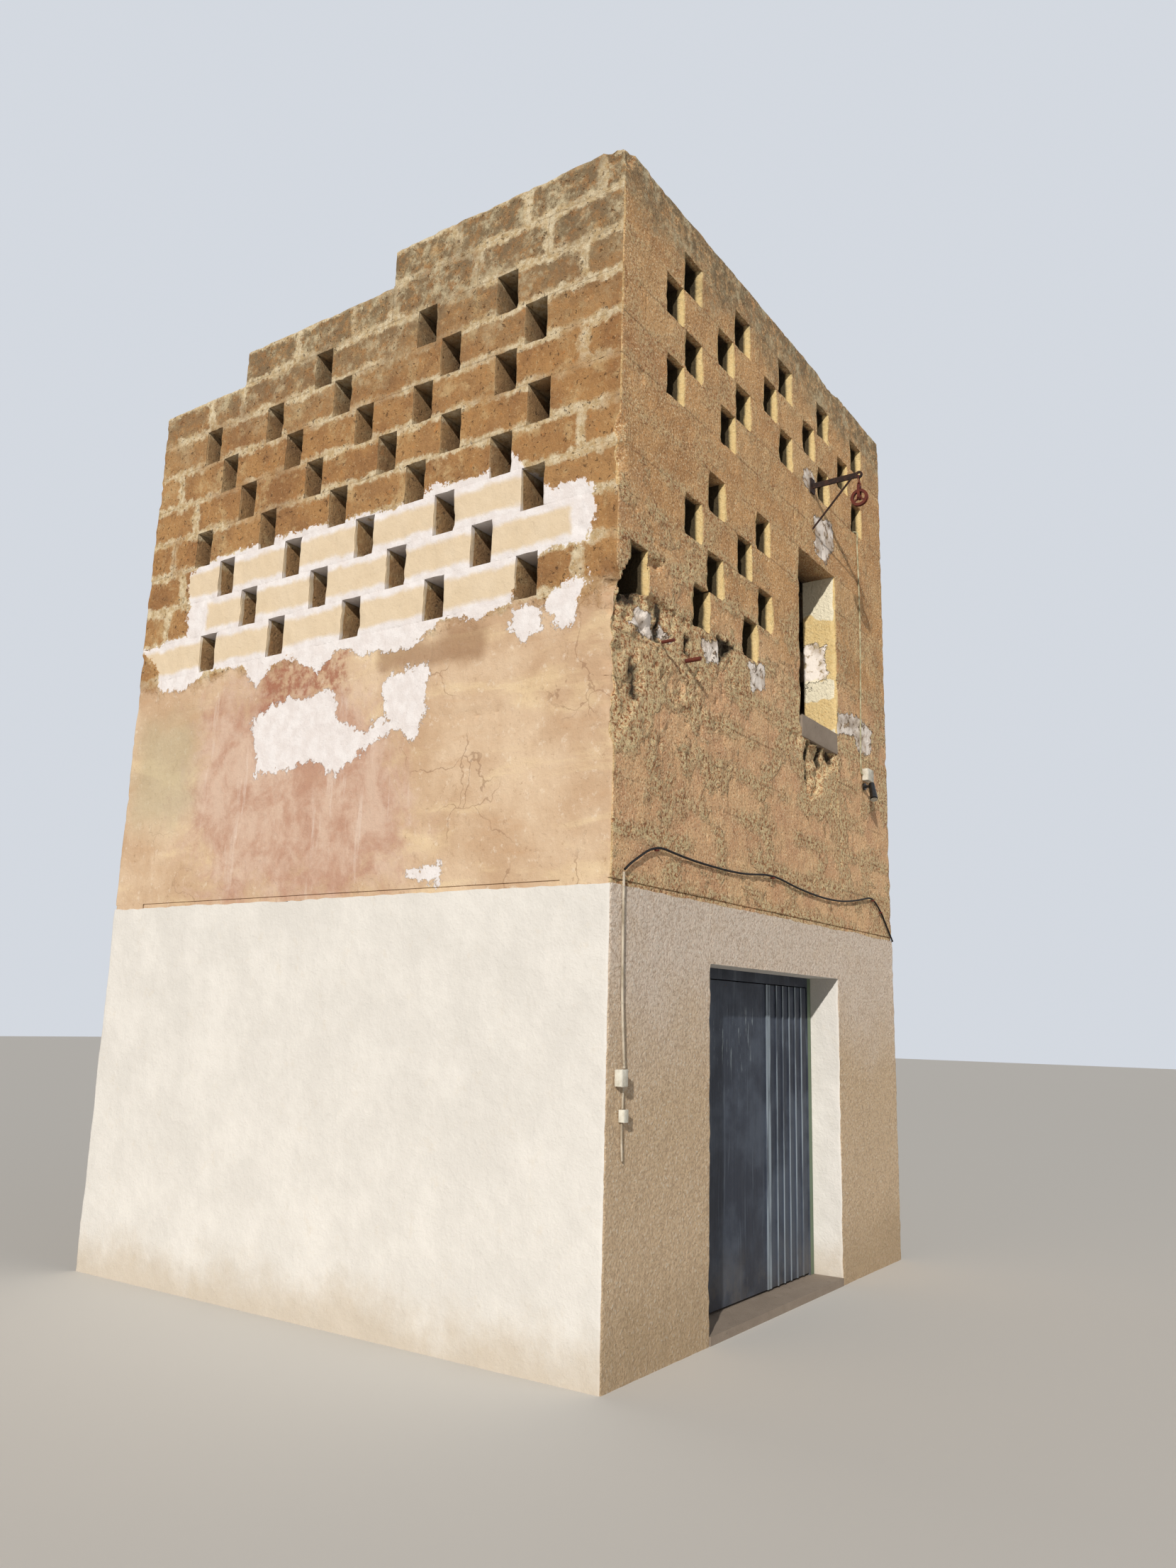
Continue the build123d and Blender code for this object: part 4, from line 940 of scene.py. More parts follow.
class Stonework:
    """A mesh of blocks on one side of the tower."""

    def __init__(self, side):
        self.side = side
        self.face = FACES[side]
        self.bm = bmesh.new()
        layers = self.bm.verts.layers.float
        self.layers = {name: layers.new(name) for name in MARKS}

    def block(self, block, relief=stone_relief, cell=None, chamfer=0.003,
              setback=None, wave=None, main_slot=0, side_slots=(0, 0, 0)):
        """One block: a displaced grid on its face, drawn back through the wall."""
        cell = cell or self.face.cell
        start, end, low, high = block.start, block.end, block.low, block.high
        us = grid_lines(end - start, cell, block.wear_start, block.wear_end)
        zs = grid_lines(high - low, cell, 0.0, block.wear_top)
        made = bmesh.ops.create_grid(self.bm, x_segments=len(us) - 1, y_segments=len(zs) - 1,
                                     size=0.5)
        verts = made["verts"]
        for vertex in verts:
            i = round((vertex.co.x + 0.5) * (len(us) - 1))
            j = round((vertex.co.y + 0.5) * (len(zs) - 1))
            vertex.co = (start + us[i], low + zs[j], 0.0)
        loop = [e for e in linked(verts, "link_edges") if e.is_boundary]
        faces = linked(verts, "link_faces")
        for f in faces:
            f.material_index = main_slot
        for depth in self.ring_depths(block, cell):
            made = bmesh.ops.extrude_edge_only(self.bm, edges=loop)
            fresh = [g for g in made["geom"] if isinstance(g, bmesh.types.BMVert)]
            for vertex in fresh:
                vertex.co.z = depth
            verts.extend(fresh)
            for side_face in (g for g in made["geom"] if isinstance(g, bmesh.types.BMFace)):
                side_face.material_index = self.side_slot(side_face, start, end, side_slots)
                faces.append(side_face)
            loop = [g for g in made["geom"] if isinstance(g, bmesh.types.BMEdge) and g.is_boundary]
        faces += bmesh.ops.holes_fill(self.bm, edges=loop, sides=0)["faces"]
        for f in faces:
            f.smooth = True
        setback = (0.004 * block.shade * self.face.rough) if setback is None else setback
        for vertex in verts:
            self.weather(vertex, block, relief, chamfer, setback, wave)

    @staticmethod
    def side_slot(face, start, end, slots):
        """Material of a face drawn back from the start edge, the end edge or elsewhere."""
        middle = face.calc_center_median()
        if abs(middle.x - start) < 1e-4:
            return slots[0]
        if abs(middle.x - end) < 1e-4:
            return slots[1]
        return slots[2]

    @staticmethod
    def ring_depths(block, cell):
        wear = max(block.wear_start, block.wear_end, block.wear_top)
        rings = [wear * 0.3, wear * 0.65, wear] if wear else [0.010]
        if block.outer or block.fresh < 0.0:
            count = max(2, round((block.depth - rings[-1]) / (cell * 1.1)))
            step = (block.depth - rings[-1]) / count
            rings += [rings[-1] + step * (k + 1) for k in range(count)]
        elif wear:
            rings += [0.085, block.depth]
        else:
            rings += [block.depth]
        return rings

    def weather(self, vertex, block, relief, chamfer, setback, wave):
        """Moves one vertex from the plain block to the weathered one, and marks it."""
        spot = Spot(self.side, block, vertex.co, wave)
        u, depth, worn = self.worn_ends(spot, relief)
        z, depth = self.worn_top(spot, depth)
        depth = self.roughened(spot, depth, relief, chamfer, setback)
        for name, value in zip(MARKS, self.marks(spot, worn)):
            vertex[self.layers[name]] = value
        vertex.co = self.face.at(u, z, depth)

    def worn_ends(self, spot, relief):
        """Place along the wall and depth of a vertex by a block's worn ends, and how worn."""
        block, z = spot.block, spot.z
        u, depth, worn = spot.u, spot.depth, 0.0
        ends = ((block.wear_start, u - block.start, 1.0), (block.wear_end, block.end - u, -1.0))
        for wear, distance, sign in ends:
            edge = spot.u - sign * distance
            hole = not at_corner(edge)
            if not wear or (hole and relief is skin_relief and z > DOOR[2]):
                continue
            radius = self.edge_radius(wear, block, spot.point, z)
            if spot.front and distance < radius:
                angle = math.radians(45.0 + 45.0 * distance / radius)
                u += sign * (radius * (1 - math.cos(angle)) - distance)
                depth = max(depth, radius * (1 - math.sin(angle)))
                worn = max(worn, (1.0 - distance / radius) * (1.0 if hole else 0.25))
            elif distance < TOUCH and 0.0 < spot.depth < radius:
                angle = math.radians(45.0 - 45.0 * spot.depth / radius)
                u += sign * radius * (1 - math.cos(angle))
                depth = radius * (1 - math.sin(angle))
                worn = 1.0 if hole else 0.25
            u += sign * self.pulled_back(relief, edge, z, spot.depth, distance)
            if distance < TOUCH and spot.own and not spot.front:
                worn = max(worn, 0.5)
        return u, depth, worn

    @staticmethod
    def worn_top(spot, depth):
        """Height and depth of a vertex where nothing stands on the block."""
        z, wear = spot.z, spot.block.wear_top
        rise = spot.block.high - z
        if wear and rise < wear:
            radius = wear * (0.8 + 0.6 * noise.noise(spot.point * 5.0))
            if spot.front and rise < radius:
                angle = math.radians(45.0 + 45.0 * rise / radius)
                z -= radius * (1 - math.cos(angle)) - rise
                depth = max(depth, radius * (1 - math.sin(angle)))
            elif rise < TOUCH:
                z -= radius * 0.3 + 0.012 * (0.5 + 0.5 * noise.noise(spot.point * 12.0))
        return z, depth

    def roughened(self, spot, depth, relief, chamfer, setback):
        """Depth of a vertex in the rough surface, with the chamfer along the joints."""
        block, u, z = spot.block, spot.u, spot.z
        if spot.front:
            depth += relief(self.side, spot.point, u, z) + setback
            nearest = min(z - block.low, 1.0 if block.wear_top else block.high - z,
                          1.0 if block.wear_start else u - block.start,
                          1.0 if block.wear_end else block.end - u)
            if chamfer and nearest < chamfer * 1.6:
                depth += chamfer * (1.0 - nearest / (chamfer * 1.6))
        elif spot.depth < block.depth - TOUCH:
            behind = relief(self.side, spot.point, u, z) + setback
            depth += behind * (1.0 - spot.depth / block.depth)
        return depth

    def marks(self, spot, worn):
        """What the materials are told about a vertex, in the order of MARKS."""
        block, along, z, depth = spot.block, spot.along, spot.z, spot.depth
        inner = spot.own and not spot.front
        cheek = inner and (spot.at_start and block.wear_start or spot.at_end and block.wear_end)
        joints = [z - block.low, block.high - z]
        bed = min(joints)
        if spot.front:
            joints += [] if block.wear_start else [spot.u - block.start]
            joints += [] if block.wear_end else [block.end - spot.u]
        elif not spot.own:
            joints.append(block.depth - depth)

        zone = -1.0
        if spot.side == "left" and not (cheek and depth > 0.02):
            zone = inside(along, z, REPAIR_OUTLINE)
        smear = deepest(along, z, SMEARS[spot.side])
        fresh = max(0.0, block.fresh)
        # Painted shade, kept as the deep mark: dark in the clefts of broken stone, and dark past a
        # set depth on the cheeks, undersides and tops inside the holes
        dark = 0.0 if inner else broken(spot.side, along, z)[1]
        if cheek or inner and not (block.high - z < TOUCH and block.wear_top):
            start, span = PAINTED_SHADE_FRONT if self.side == "front" else PAINTED_SHADE_SIDES
            dark = clamp((depth - start) / span)
        if cheek and (spot.at_start and block.fresh == RIGHT_REVEAL
                      or spot.at_end and block.fresh == LEFT_REVEAL):
            # Pale stone beside the window, with cement smeared over its middle
            torn = z + 0.07 * noise.noise(spot.point * 6.0) + 0.03 * noise.noise(spot.point * 19.0)
            pale = max(torn - 4.47, 3.60 - torn, min(torn - 3.86, 3.98 - torn))
            fresh = clamp(0.5 + 8.0 * pale)
            smear = min(torn - 3.96, 4.24 - torn, depth - 0.07 - 0.3 * (torn - z))
            dark = 0.0
        return (block.shade, max(0.0, min(joints)), max(0.0, bed), worn, zone, smear,
                deepest(along, z, STAINS[spot.side]), fresh, dark)

    def pulled_back(self, relief, edge, z, depth, distance):
        """How far the weathered surface round an edge draws the stone beside it along."""
        if not at_corner(edge):
            return 0.006 if distance < 1e-6 else 0.0
        if distance > 0.45:
            return 0.0
        name = ROUND_CORNER[self.side][0 if edge < 0.01 else 1]
        other, point = FACES[name], self.face.at(edge, z, depth)
        behind = relief(name, point, (point - other.corner).dot(other.along), z)
        return behind * max(0.0, 1.0 - distance / max(0.05, 2.5 * behind))

    @staticmethod
    def edge_radius(wear, block, point, z):
        """Radius to which an open edge is worn: less near the ends of a hole's edge."""
        radius = wear * (0.75 + 0.5 * noise.noise(point * 6.0))
        if block.outer:
            return radius
        return radius * max(0.05, min(1.0, (z - block.low) / 0.02, (block.high - z) / 0.10)) ** 0.5

    def finish(self, name, materials, body="tower", slot="stone_blocks", sharp=50.0):
        bmesh.ops.recalc_face_normals(self.bm, faces=self.bm.faces)
        return add_piece(name, self.bm, materials, body, sharp)


def add_piece(name, bm, materials, body, sharp=40.0):
    """Turns a bmesh into a named object that moves with a body."""
    mesh = bpy.data.meshes.new(name)
    bm.to_mesh(mesh)
    bm.free()
    for entry in materials:
        mesh.materials.append(material(entry))
    mesh.shade_smooth()
    mesh.set_sharp_from_angle(angle=math.radians(sharp))
    piece = bpy.data.objects.new(name, mesh)
    bpy.context.scene.collection.objects.link(piece)
    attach(piece, body)
    return piece


# ---------------------------------------------------------------- settings

class DovecoteMasonry(bpy.types.PropertyGroup):
    render_top: FloatProperty(name="Top of the render", unit="LENGTH", default=2.222,
                              description="Height of the wavy upper edge of the render")
    tile_width: FloatProperty(name="Tile width", unit="LENGTH", default=0.211,
                              description="Distance between two columns of roof tiles")
    tile_rows: IntProperty(name="Tile rows", default=11,
                           description="Rows of roof tiles from the top to the eave")


class DovecoteColours(bpy.types.PropertyGroup):
    honey: FloatVectorProperty(name="Door face", subtype="COLOR_GAMMA", default=(0.94, 0.77, 0.585),
                               description="Colour of the door face's stone")
    honey_dark: FloatVectorProperty(name="Door face, dark", subtype="COLOR_GAMMA",
                                    default=(0.75, 0.565, 0.38),
                                    description="Darker shade of the door face's stone")
    honey_red: FloatVectorProperty(name="Door face, red", subtype="COLOR_GAMMA",
                                   default=(0.87, 0.68, 0.52),
                                   description="Redder shade of the door face's stone")
    block: FloatVectorProperty(name="Side blocks", subtype="COLOR_GAMMA", default=(0.73, 0.55, 0.35),
                               description="Colour of the blocks on the other sides")
    block_dark: FloatVectorProperty(name="Side blocks, dark", subtype="COLOR_GAMMA",
                                    default=(0.61, 0.44, 0.28),
                                    description="Darker shade of the blocks on the other sides")
    wash: FloatVectorProperty(name="Lime wash", subtype="COLOR_GAMMA", default=(0.86, 0.76, 0.645),
                              description="Colour of the old wash on the lower blocks")
    wash_dark: FloatVectorProperty(name="Lime wash, dark", subtype="COLOR_GAMMA",
                                   default=(0.77, 0.645, 0.52),
                                   description="Darker shade of the old wash")
    render: FloatVectorProperty(name="Render", subtype="COLOR_GAMMA", default=(0.99, 0.92, 0.85),
                                description="Colour of the rough-cast render")
    plaster: FloatVectorProperty(name="Plaster", subtype="COLOR_GAMMA", default=(0.84, 0.825, 0.80),
                                 description="Colour of the smooth plaster")
    door: FloatVectorProperty(name="Door", subtype="COLOR_GAMMA", default=(0.19, 0.21, 0.255),
                              description="Colour of the door leaves")
    iron: FloatVectorProperty(name="Hoist iron", subtype="COLOR_GAMMA", default=(0.30, 0.12, 0.11),
                              description="Colour of the pulley's rusty iron")


# ---------------------------------------------------------------- operators

def build_side(side, replaced):
    """All blocks of one side, as one piece."""
    work = Stonework(side)
    own, *around = (0 if name == "front" else 1 for name in (side, *ROUND_CORNER[side]))
    for block in blocks_of(side, masonry_rows()):
        washed = side == "left" and block.high < WASHED
        crumbled = side == "front" and block.start < 1.2 and 3.2 < block.low < 4.1
        slots = (around[0] if at_corner(block.start) else own,
                 around[1] if at_corner(block.end) else own, own)
        work.block(block, chamfer=0.0 if washed else 0.001, setback=0.0,
                   cell=0.013 if crumbled else None, main_slot=own, side_slots=slots)
    piece = work.finish(f"{side}_stonework", ["door_face_stone", "side_stone"])
    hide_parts(*replaced)
    return piece


class DOVECOTE_OT_door_face(bpy.types.Operator):
    """Lays the blocks of the door face"""
    bl_idname = "dovecote.door_face"
    bl_label = "Door face blocks"

    def execute(self, context):
        build_side("front", ROW_NODES["front"])
        return {"FINISHED"}


class DOVECOTE_OT_other_walls(bpy.types.Operator):
    """Lays the blocks of the two side walls and the back wall"""
    bl_idname = "dovecote.other_walls"
    bl_label = "Side and back blocks"

    def execute(self, context):
        build_side("left", ROW_NODES["left"] + ["crow_steps"])
        build_side("right", ROW_NODES["right"] + ["crow_steps"])
        build_side("back", ROW_NODES["back"])
        return {"FINISHED"}


def render_wave(point):
    """How far the wavy upper edge of the render lies above or below its mean height."""
    flat = Vector((point.x, point.y, 0.0))
    return 0.013 * noise.noise(flat * 2.1) + 0.008 * noise.noise(flat * 14.0)


class DOVECOTE_OT_render(bpy.types.Operator):
    """Covers the lower storey with render and plaster"""
    bl_idname = "dovecote.render"
    bl_label = "Lower storey render"

    def execute(self, context):
        top = context.scene.dovecote_masonry.render_top
        # For each side: stretches as (start, end, bottom, worn start, worn end, slots of
        # their start, end and underside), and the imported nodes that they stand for
        skins = {
            "front": ([(0.0, DOOR[0] + HALF, 0.0, CORNER_WEAR, 0.018, (1, 1, 0)),
                       (DOOR[1] + HALF, SIDE, 0.0, 0.018, CORNER_WEAR, (1, 0, 0)),
                       (DOOR[0] + HALF, DOOR[1] + HALF, DOOR[2], 0.0, 0.0, (0, 0, 1))],
                      ["front_piers", "door_lintel"]),
            "left": ([(LOWER_WALL, SIDE - LOWER_WALL, 0.0, 0.0, 0.0, (1, 1, 1))],
                     ["side_walls_lower"]),
            "right": ([(LOWER_WALL, SIDE - LOWER_WALL, 0.0, 0.0, 0.0, (0, 0, 0))],
                      ["side_walls_lower"]),
            "back": ([(0.0, SIDE, 0.0, CORNER_WEAR, CORNER_WEAR, (1, 0, 0))], ["back_wall_lower"]),
        }
        for side, (parts, nodes) in skins.items():
            work = Stonework(side)
            stones = [3 if name == "front" else 2 for name in (side, *ROUND_CORNER[side])]
            for u0, u1, z0, wear0, wear1, slots in parts:
                skin = Block(u0, u1, z0, top, LOWER_WALL, wear0, wear1, 0.0, True, 0.5, 0.0)
                work.block(skin, relief=skin_relief, cell=0.034, chamfer=0.0, setback=0.0,
                           wave=render_wave, main_slot=1 if side == "left" else 0, side_slots=slots)
            # The blocks that look out above the wavy edge
            for u0, u1 in joined([(p[0], p[1]) for p in parts]):
                points = cut_points(u0, u1)
                for k, (a, b) in enumerate(zip(points, points[1:])):
                    ends = [CORNER_WEAR if at_corner(u) else 0.0 for u in (a, b)]
                    row = Block(a, b, top - 0.03, LOWER_TOP, LOWER_WALL, *ends, 0.0,
                                bool(max(ends)), (k * 0.37) % 1.0, 0.0)
                    work.block(row, setback=0.006, main_slot=stones[0],
                               side_slots=(stones[1], stones[2], stones[0]))
            piece = work.finish(f"{side}_render",
                                ["rough_cast", "smooth_plaster", "side_stone", "door_face_stone"],
                                slot="rendered_stone")
            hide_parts(*nodes)
        return {"FINISHED"}


class DOVECOTE_OT_window(bpy.types.Operator):
    """Makes the window's sill and the broken masonry below it"""
    bl_idname = "dovecote.window"
    bl_label = "Window sill and broken masonry"

    def execute(self, context):
        low, high = SILL
        work = Stonework("front")
        sill = Block(low.x + HALF, high.x + HALF, low.z, high.z, WALL, 0.006, 0.006, 0.008, True,
                     0.4, 0.0)
        work.block(sill, relief=sill_relief, cell=0.03, chamfer=0.003, setback=0.0)
        piece = work.finish("sill_slab", ["sill_concrete"], slot="sill_stone")
        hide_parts("window_sill")

        low, high = BROKEN
        work = Stonework("front")
        rough = Block(low.x + HALF, high.x + HALF, low.z, high.z, WALL, 0.0, 0.0, 0.0, True,
                      0.9, 0.0)
        work.block(rough, cell=0.014, chamfer=0.0, setback=0.004)
        piece = work.finish("broken_stone", ["door_face_stone"])
        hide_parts("broken_masonry")
        return {"FINISHED"}


def sill_relief(side, point, u, z):
    return 0.002 + 0.002 * (1 + noise.noise(point * 9.0))


TILE_LAP = 1.14              # length of a roof tile, in steps from row to row
TILE_WIDTH = 0.80            # width of a roof tile, in steps from column to column
COVER_DROP, PAN_DROP = 0.032, 0.052      # how far the tiles lie below the top of the roof


class DOVECOTE_OT_roof(bpy.types.Operator):
    """Lays barrel tiles over the roof boards"""
    bl_idname = "dovecote.roof"
    bl_label = "Roof tiles"

    def execute(self, context):
        settings = context.scene.dovecote_masonry
        low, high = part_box("roof_tiles")
        verts = [v.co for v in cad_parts["roof_tiles"].data.vertices]
        top_z = max(c.z for c in verts)
        foot_z = max(c.z for c in verts if c.y > high.y - 0.001)
        slope = math.atan2(top_z - foot_z, high.y - low.y)
        length = math.hypot(top_z - foot_z, high.y - low.y)
        columns = max(2, round((high.x - low.x) / settings.tile_width))
        pitch = (high.x - low.x) / columns
        step = (length - 0.01) / settings.tile_rows
        bm = bmesh.new()
        tone = bm.verts.layers.float.new("tone")
        for column in range(1, 2 * columns):
            cover = column % 2 == 1
            x = low.x + column * pitch / 2
            for row in range(settings.tile_rows):
                along = 0.006 + row * step
                reach = min(step * TILE_LAP, length - along - 0.004)
                shift = Vector((column * 2.3, row * 1.7, 0.4))
                turn = 0.018 * noise.noise(shift)
                place = (Matrix.Translation((x, low.y, top_z)) @ Matrix.Rotation(-slope, 4, "X")
                         @ Matrix.Translation((0.0, along, -(COVER_DROP if cover else PAN_DROP)))
                         @ Matrix.Rotation(turn, 4, "Z"))
                shade = 0.5 + 0.5 * noise.noise(shift * 1.9)
                add_tile(bm, tone, place, pitch * TILE_WIDTH, reach, cover, clamp(shade))
        bmesh.ops.recalc_face_normals(bm, faces=bm.faces)
        piece = add_piece("barrel_tiles", bm, ["tile_clay"], "tower")
        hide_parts("roof_tiles")
        return {"FINISHED"}


def add_tile(bm, tone, place, width, length, cover, shade):
    """A half-round tile, narrower at one end. A cover tile lies crown up, a pan crown down."""
    made = bmesh.ops.create_grid(bm, x_segments=6, y_segments=2, size=0.5)
    verts = made["verts"]
    for vertex in verts:
        share = vertex.co.y + 0.5
        narrow = 1.0 - 0.14 * (1.0 - share if cover else share)
        angle = vertex.co.x * math.pi * 0.94
        radius = width / 2 * narrow
        lift = (0.006 if cover else 0.003) * share
        crown = math.cos(angle) * radius * (0.36 if cover else -0.30)
        vertex.co = (math.sin(angle) * radius, share * length, crown + lift)
    thick = bmesh.ops.solidify(bm, geom=linked(verts, "link_faces"), thickness=0.010)
    added = [g for g in thick["geom"] if isinstance(g, bmesh.types.BMVert)]
    for vertex in dict.fromkeys([*verts, *added]):
        vertex[tone] = shade
        vertex.co = place @ vertex.co


class DOVECOTE_OT_floors(bpy.types.Operator):
    """Gives the floors, rafters and boards their materials"""
    bl_idname = "dovecote.floors"
    bl_label = "Floors and roof timber"

    def execute(self, context):
        dress("timber_x", "upper_floor_beams")
        dress("timber_y", "upper_floor_boards", "roof_rafters", "roof_boards")
        dress("floor_screed", "ground_floor")
        dress("sill_concrete", "door_threshold")
        return {"FINISHED"}


class DOVECOTE_OT_door(bpy.types.Operator):
    """Finishes the door leaves, their frame and hinges"""
    bl_idname = "dovecote.door"
    bl_label = "Door"

    def execute(self, context):
        dress("door_enamel", "door_frame_posts", "door_frame_head", "door_leaf_left",
              "door_leaf_right")
        dress("black_iron", "door_pintles", "door_straps_left", "door_straps_right")
        return {"FINISHED"}


class DOVECOTE_OT_hoist(bpy.types.Operator):
    """Finishes the hoist bracket and its pulley"""
    bl_idname = "dovecote.hoist"
    bl_label = "Hoist and pulley"

    def execute(self, context):
        dress("brown_iron", "hoist_arm", "hoist_stay")
        dress("rusty_iron", "hoist_link", "pulley_fork", "pulley_wheel")
        return {"FINISHED"}


# Centre x, z, width, height and depth of each surface box
WALL_BOXES = [(1.438, 3.385, 0.115, 0.090, 0.045), (-1.848, 1.330, 0.054, 0.080, 0.042),
              (-1.816, 1.160, 0.040, 0.060, 0.032)]
# Points (x, z) and radius of each run of conduit
CONDUITS = [(((-1.836, 2.285), (-1.834, 1.900), (-1.830, 1.700), (-1.818, 1.530), (-1.802, 1.372)),
             0.0065),
            (((-1.808, 1.288), (-1.808, 1.192)), 0.005),
            (((-1.814, 1.128), (-1.812, 1.040), (-1.806, 0.960)), 0.005)]
LAMP_END = Vector((1.405, -2.002, 3.298))
LAMP_AIM = Vector((-50.0, -35.0, -130.0)).normalized()


def add_wall_box(bm, x, z, width, height, depth):
    """A surface box: a rounded body, a proud lid and two screws."""
    lid = 0.005
    for grow, back, front in ((0.0, 0.0, depth - lid), (0.002, depth - lid, depth)):
        verts = bmesh.ops.create_cube(bm, size=1.0)["verts"]
        size = (width - 0.004 + grow, front - back, height - 0.004 + grow)
        bmesh.ops.scale(bm, vec=size, verts=verts)
        bmesh.ops.translate(bm, vec=(x, -HALF - (front + back) / 2, z), verts=verts)
        bmesh.ops.bevel(bm, geom=linked(verts, "link_edges"), offset=0.0018, segments=2,
                        affect="EDGES", profile=0.5, material=-1)
    for turn in (-1, 1):
        place = (Matrix.Translation((x + turn * (width / 2 - 0.009), -HALF - depth + 0.0006,
                                     z + turn * (height / 2 - 0.009)))
                 @ Matrix.Rotation(math.radians(90.0), 4, "X"))
        bmesh.ops.create_cone(bm, cap_ends=True, segments=12, radius1=0.0030, radius2=0.0024,
                              depth=0.0012, matrix=place)


def add_tube(bm, route, radius):
    """A tube along points on the wall, drawn on from a circle."""
    points = [Vector((x, -HALF - radius - 0.0005, z)) for x, z in route]
    made = bmesh.ops.create_circle(bm, cap_ends=True, segments=12, radius=radius,
                                   matrix=Matrix.Translation(points[0]))
    ring = bmesh.ops.extrude_face_region(bm, geom=linked(made["verts"], "link_faces"))
    for k, point in enumerate(points[1:]):
        verts = [g for g in ring["geom"] if isinstance(g, bmesh.types.BMVert)]
        bmesh.ops.translate(bm, vec=point - points[k], verts=verts)
        if k < len(points) - 2:
            ring = bmesh.ops.extrude_face_region(
                bm, geom=[g for g in ring["geom"] if isinstance(g, bmesh.types.BMFace)])
    bmesh.ops.recalc_face_normals(bm, faces=bm.faces)


def add_lens(bm):
    """The domed glass at the open end of the lamp's hood."""
    centre = LAMP_END + LAMP_AIM * 0.1155
    turn = LAMP_AIM.to_track_quat("Z", "Y").to_matrix().to_4x4()
    made = bmesh.ops.create_circle(bm, cap_ends=True, segments=24, radius=0.025,
                                   matrix=Matrix.Translation(centre) @ turn)
    dome = [f for v in made["verts"][:1] for f in v.link_faces]
    for width, rise in ((0.005, 0.003), (0.007, 0.002), (0.007, 0.001)):
        bmesh.ops.inset_region(bm, faces=dome, thickness=width)
        bmesh.ops.translate(bm, vec=LAMP_AIM * rise, verts=linked(dome, "verts"))


class DOVECOTE_OT_fittings(bpy.types.Operator):
    """Finishes the boxes, lamp, conduit, cables and pegs on the door face"""
    bl_idname = "dovecote.fittings"
    bl_label = "Fittings"

    def execute(self, context):
        bm = bmesh.new()
        for box in WALL_BOXES:
            add_wall_box(bm, *box)
        boxes = add_piece("wall_boxes", bm, ["dusty_plastic"], "tower", 30.0)
        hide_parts("junction_boxes")

        bm = bmesh.new()
        for route, radius in CONDUITS:
            add_tube(bm, route, radius)
        conduit = add_piece("slim_conduit", bm, ["weathered_conduit"], "tower")
        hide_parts("corner_conduit")

        bm = bmesh.new()
        add_lens(bm)
        add_piece("lamp_glass", bm, ["lamp_lens"], "tower")
        dress("faded_cable", "pale_cable")
        dress("lamp_black", "wall_lamp")
        dress("cable_rubber", "dark_cable")
        dress("rusty_iron", "iron_pegs", "cable_nails")
        return {"FINISHED"}


class DOVECOTE_OT_stage(bpy.types.Operator):
    """Sets the floor, lights and camera"""
    bl_idname = "dovecote.stage"
    bl_label = "Stage"

    def execute(self, context):
        bm = bmesh.new()
        bmesh.ops.create_grid(bm, x_segments=1, y_segments=1, size=60.0)
        mesh = bpy.data.meshes.new("stage_floor")
        bm.to_mesh(mesh)
        bm.free()
        floor = bpy.data.objects.new("stage_floor", mesh)
        context.scene.collection.objects.link(floor)
        s = Shades("stage_paper", 0.9)
        mesh.materials.append(s.finish((0.83, 0.82, 0.80)))

        world = bpy.data.worlds.new("studio")
        context.scene.world = world
        world.use_nodes = True
        nodes, links = world.node_tree.nodes, world.node_tree.links
        seen = nodes.new("ShaderNodeBackground")
        seen.inputs["Color"].default_value = (*linear((0.83, 0.85, 0.88)), 1.0)
        fill = nodes["Background"]
        fill.inputs["Color"].default_value = (*linear((0.98, 0.98, 1.0)), 1.0)
        fill.inputs["Strength"].default_value = 0.17
        path = nodes.new("ShaderNodeLightPath")
        pick = nodes.new("ShaderNodeMixShader")
        seen_by = path.outputs["Is Camera Ray"]
        for ray in ("Is Glossy Ray", "Is Transmission Ray"):
            either = nodes.new("ShaderNodeMath")
            either.operation = "MAXIMUM"
            links.new(seen_by, either.inputs[0])
            links.new(path.outputs[ray], either.inputs[1])
            seen_by = either.outputs[0]
        links.new(seen_by, pick.inputs[0])
        links.new(fill.outputs[0], pick.inputs[1])
        links.new(seen.outputs[0], pick.inputs[2])
        links.new(pick.outputs[0], nodes["World Output"].inputs["Surface"])

        sun = add_light("key", "SUN", 3.35, Vector(), Vector((0.852, 0.315, -0.42)))
        sun.angle = math.radians(1.0)
        sun.color = (1.0, 0.96, 0.90)
        stand = Vector((-1.0, -13.0, 7.0))
        soft = add_light("front_fill", "AREA", 140.0, stand, Vector((0.0, 0.0, 3.2)) - stand)
        soft.size = 7.0

        set_camera(context.scene)
        context.scene.view_settings.view_transform = "Standard"
        return {"FINISHED"}


def add_light(name, kind, energy, place, aim):
    """A lamp that stands at a place and shines along aim."""
    lamp = bpy.data.lights.new(name, kind)
    lamp.energy = energy
    holder = bpy.data.objects.new(name, lamp)
    bpy.context.scene.collection.objects.link(holder)
    holder.location = place
    holder.rotation_euler = aim.to_track_quat("-Z", "Y").to_euler()
    return lamp


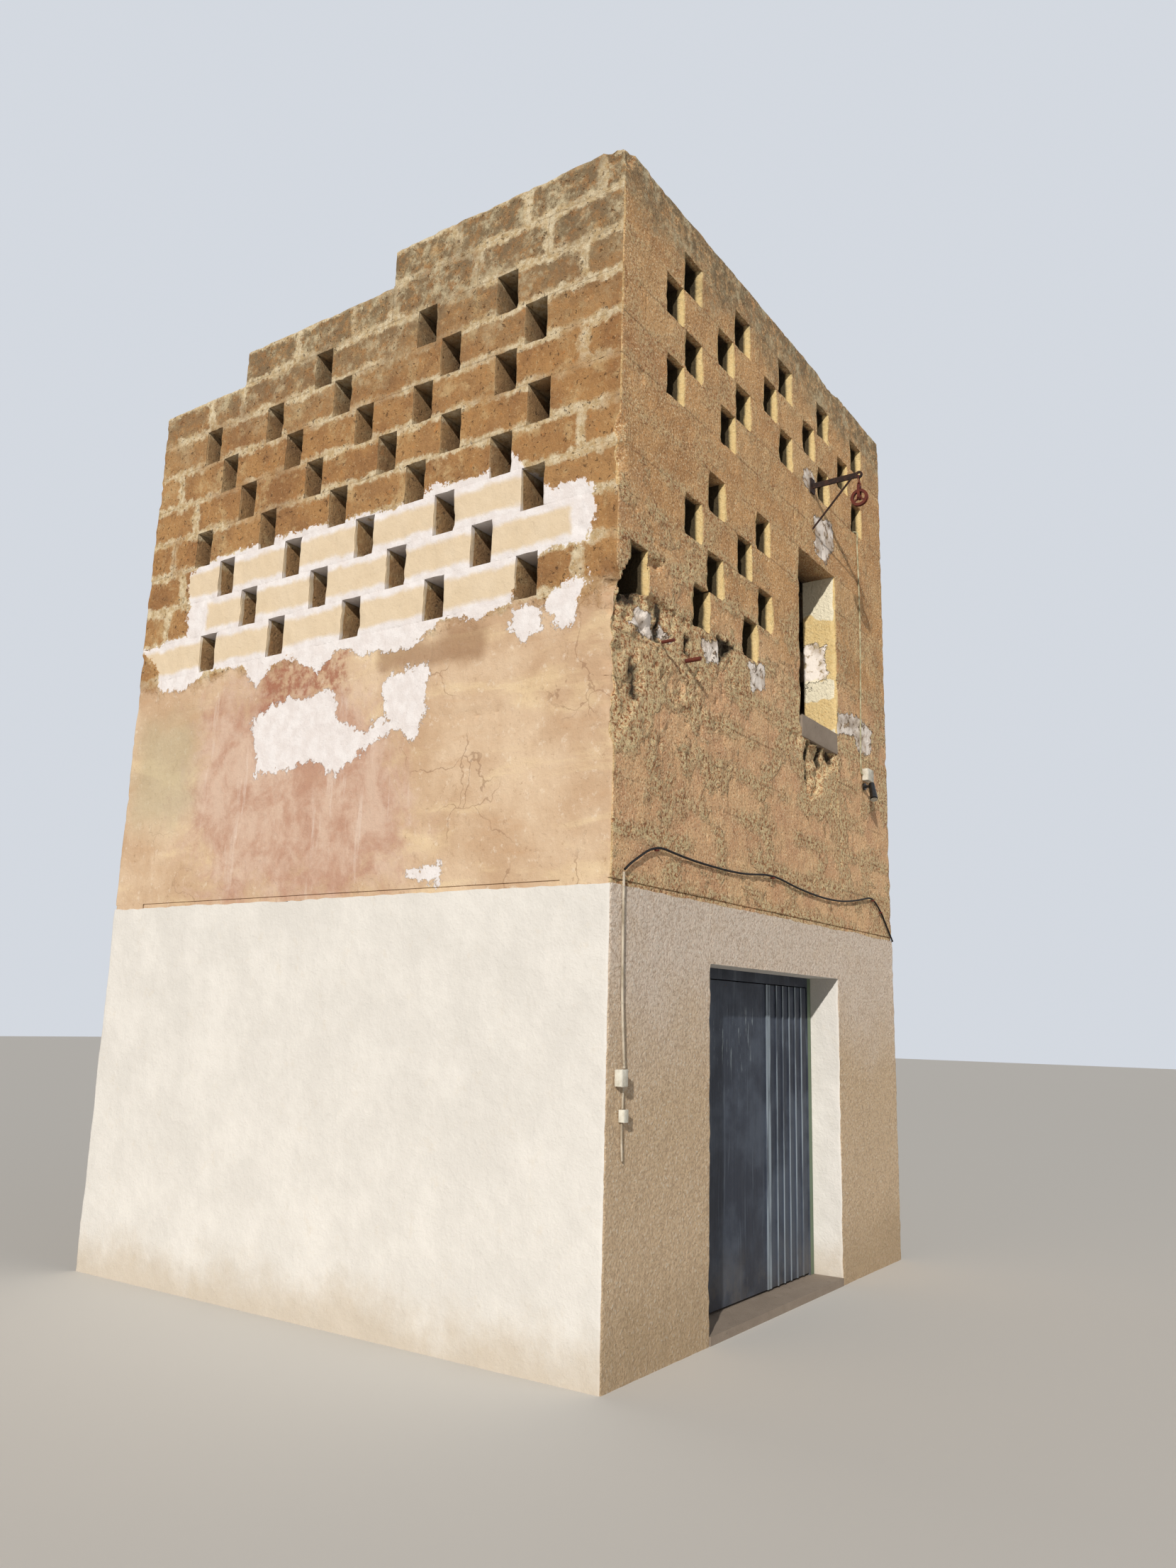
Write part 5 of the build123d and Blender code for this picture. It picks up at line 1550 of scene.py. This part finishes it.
def set_camera(scene):
    """Stands the camera where the photograph was taken, at a person's eye height."""
    yaw, pitch, roll = (math.radians(a) for a in (55.811, 11.755, 1.452))
    level = math.cos(pitch)
    forward = Vector((math.sin(yaw) * level, math.cos(yaw) * level, math.sin(pitch)))
    side = Vector((math.cos(yaw), -math.sin(yaw), 0.0))
    up = side.cross(forward)
    right = side * math.cos(roll) + up * math.sin(roll)
    up = up * math.cos(roll) - side * math.sin(roll)
    camera = bpy.data.cameras.new("camera")
    camera.lens = 26.33
    camera.sensor_width = 36.0
    camera.clip_end = 200.0
    holder = bpy.data.objects.new("camera", camera)
    scene.collection.objects.link(holder)
    turn = Matrix((right, up, -forward)).transposed()
    holder.matrix_world = Matrix.Translation((-6.444, -4.857, 1.575)) @ turn.to_4x4()
    scene.camera = holder


class DOVECOTE_PT_panel(bpy.types.Panel):
    """Lists the dovecote's pieces"""
    bl_idname = "DOVECOTE_PT_panel"
    bl_label = "Dovecote"
    bl_space_type = "VIEW_3D"
    bl_region_type = "UI"
    bl_category = "Dovecote"

    def draw(self, context):
        layout = self.layout
        for group in (context.scene.dovecote_masonry, context.scene.dovecote_colours):
            for name in group.__annotations__:
                layout.prop(group, name)
        for operator in OPERATORS:
            layout.operator(operator.bl_idname)


OPERATORS = (
    DOVECOTE_OT_door_face,
    DOVECOTE_OT_other_walls,
    DOVECOTE_OT_render,
    DOVECOTE_OT_window,
    DOVECOTE_OT_roof,
    DOVECOTE_OT_floors,
    DOVECOTE_OT_door,
    DOVECOTE_OT_hoist,
    DOVECOTE_OT_fittings,
    DOVECOTE_OT_stage,
)
CLASSES = (DovecoteMasonry, DovecoteColours, *OPERATORS, DOVECOTE_PT_panel)


def register():
    for entry in CLASSES:
        bpy.utils.register_class(entry)
    bpy.types.Scene.dovecote_masonry = PointerProperty(type=DovecoteMasonry)
    bpy.types.Scene.dovecote_colours = PointerProperty(type=DovecoteColours)


def unregister():
    del bpy.types.Scene.dovecote_colours
    del bpy.types.Scene.dovecote_masonry
    for entry in reversed(CLASSES):
        bpy.utils.unregister_class(entry)


def main():
    register()
    for name in ("door_face", "other_walls", "render", "window", "roof", "floors", "door", "hoist",
                 "fittings", "stage"):
        getattr(bpy.ops.dovecote, name)()


if __name__ == "__main__":
    main()
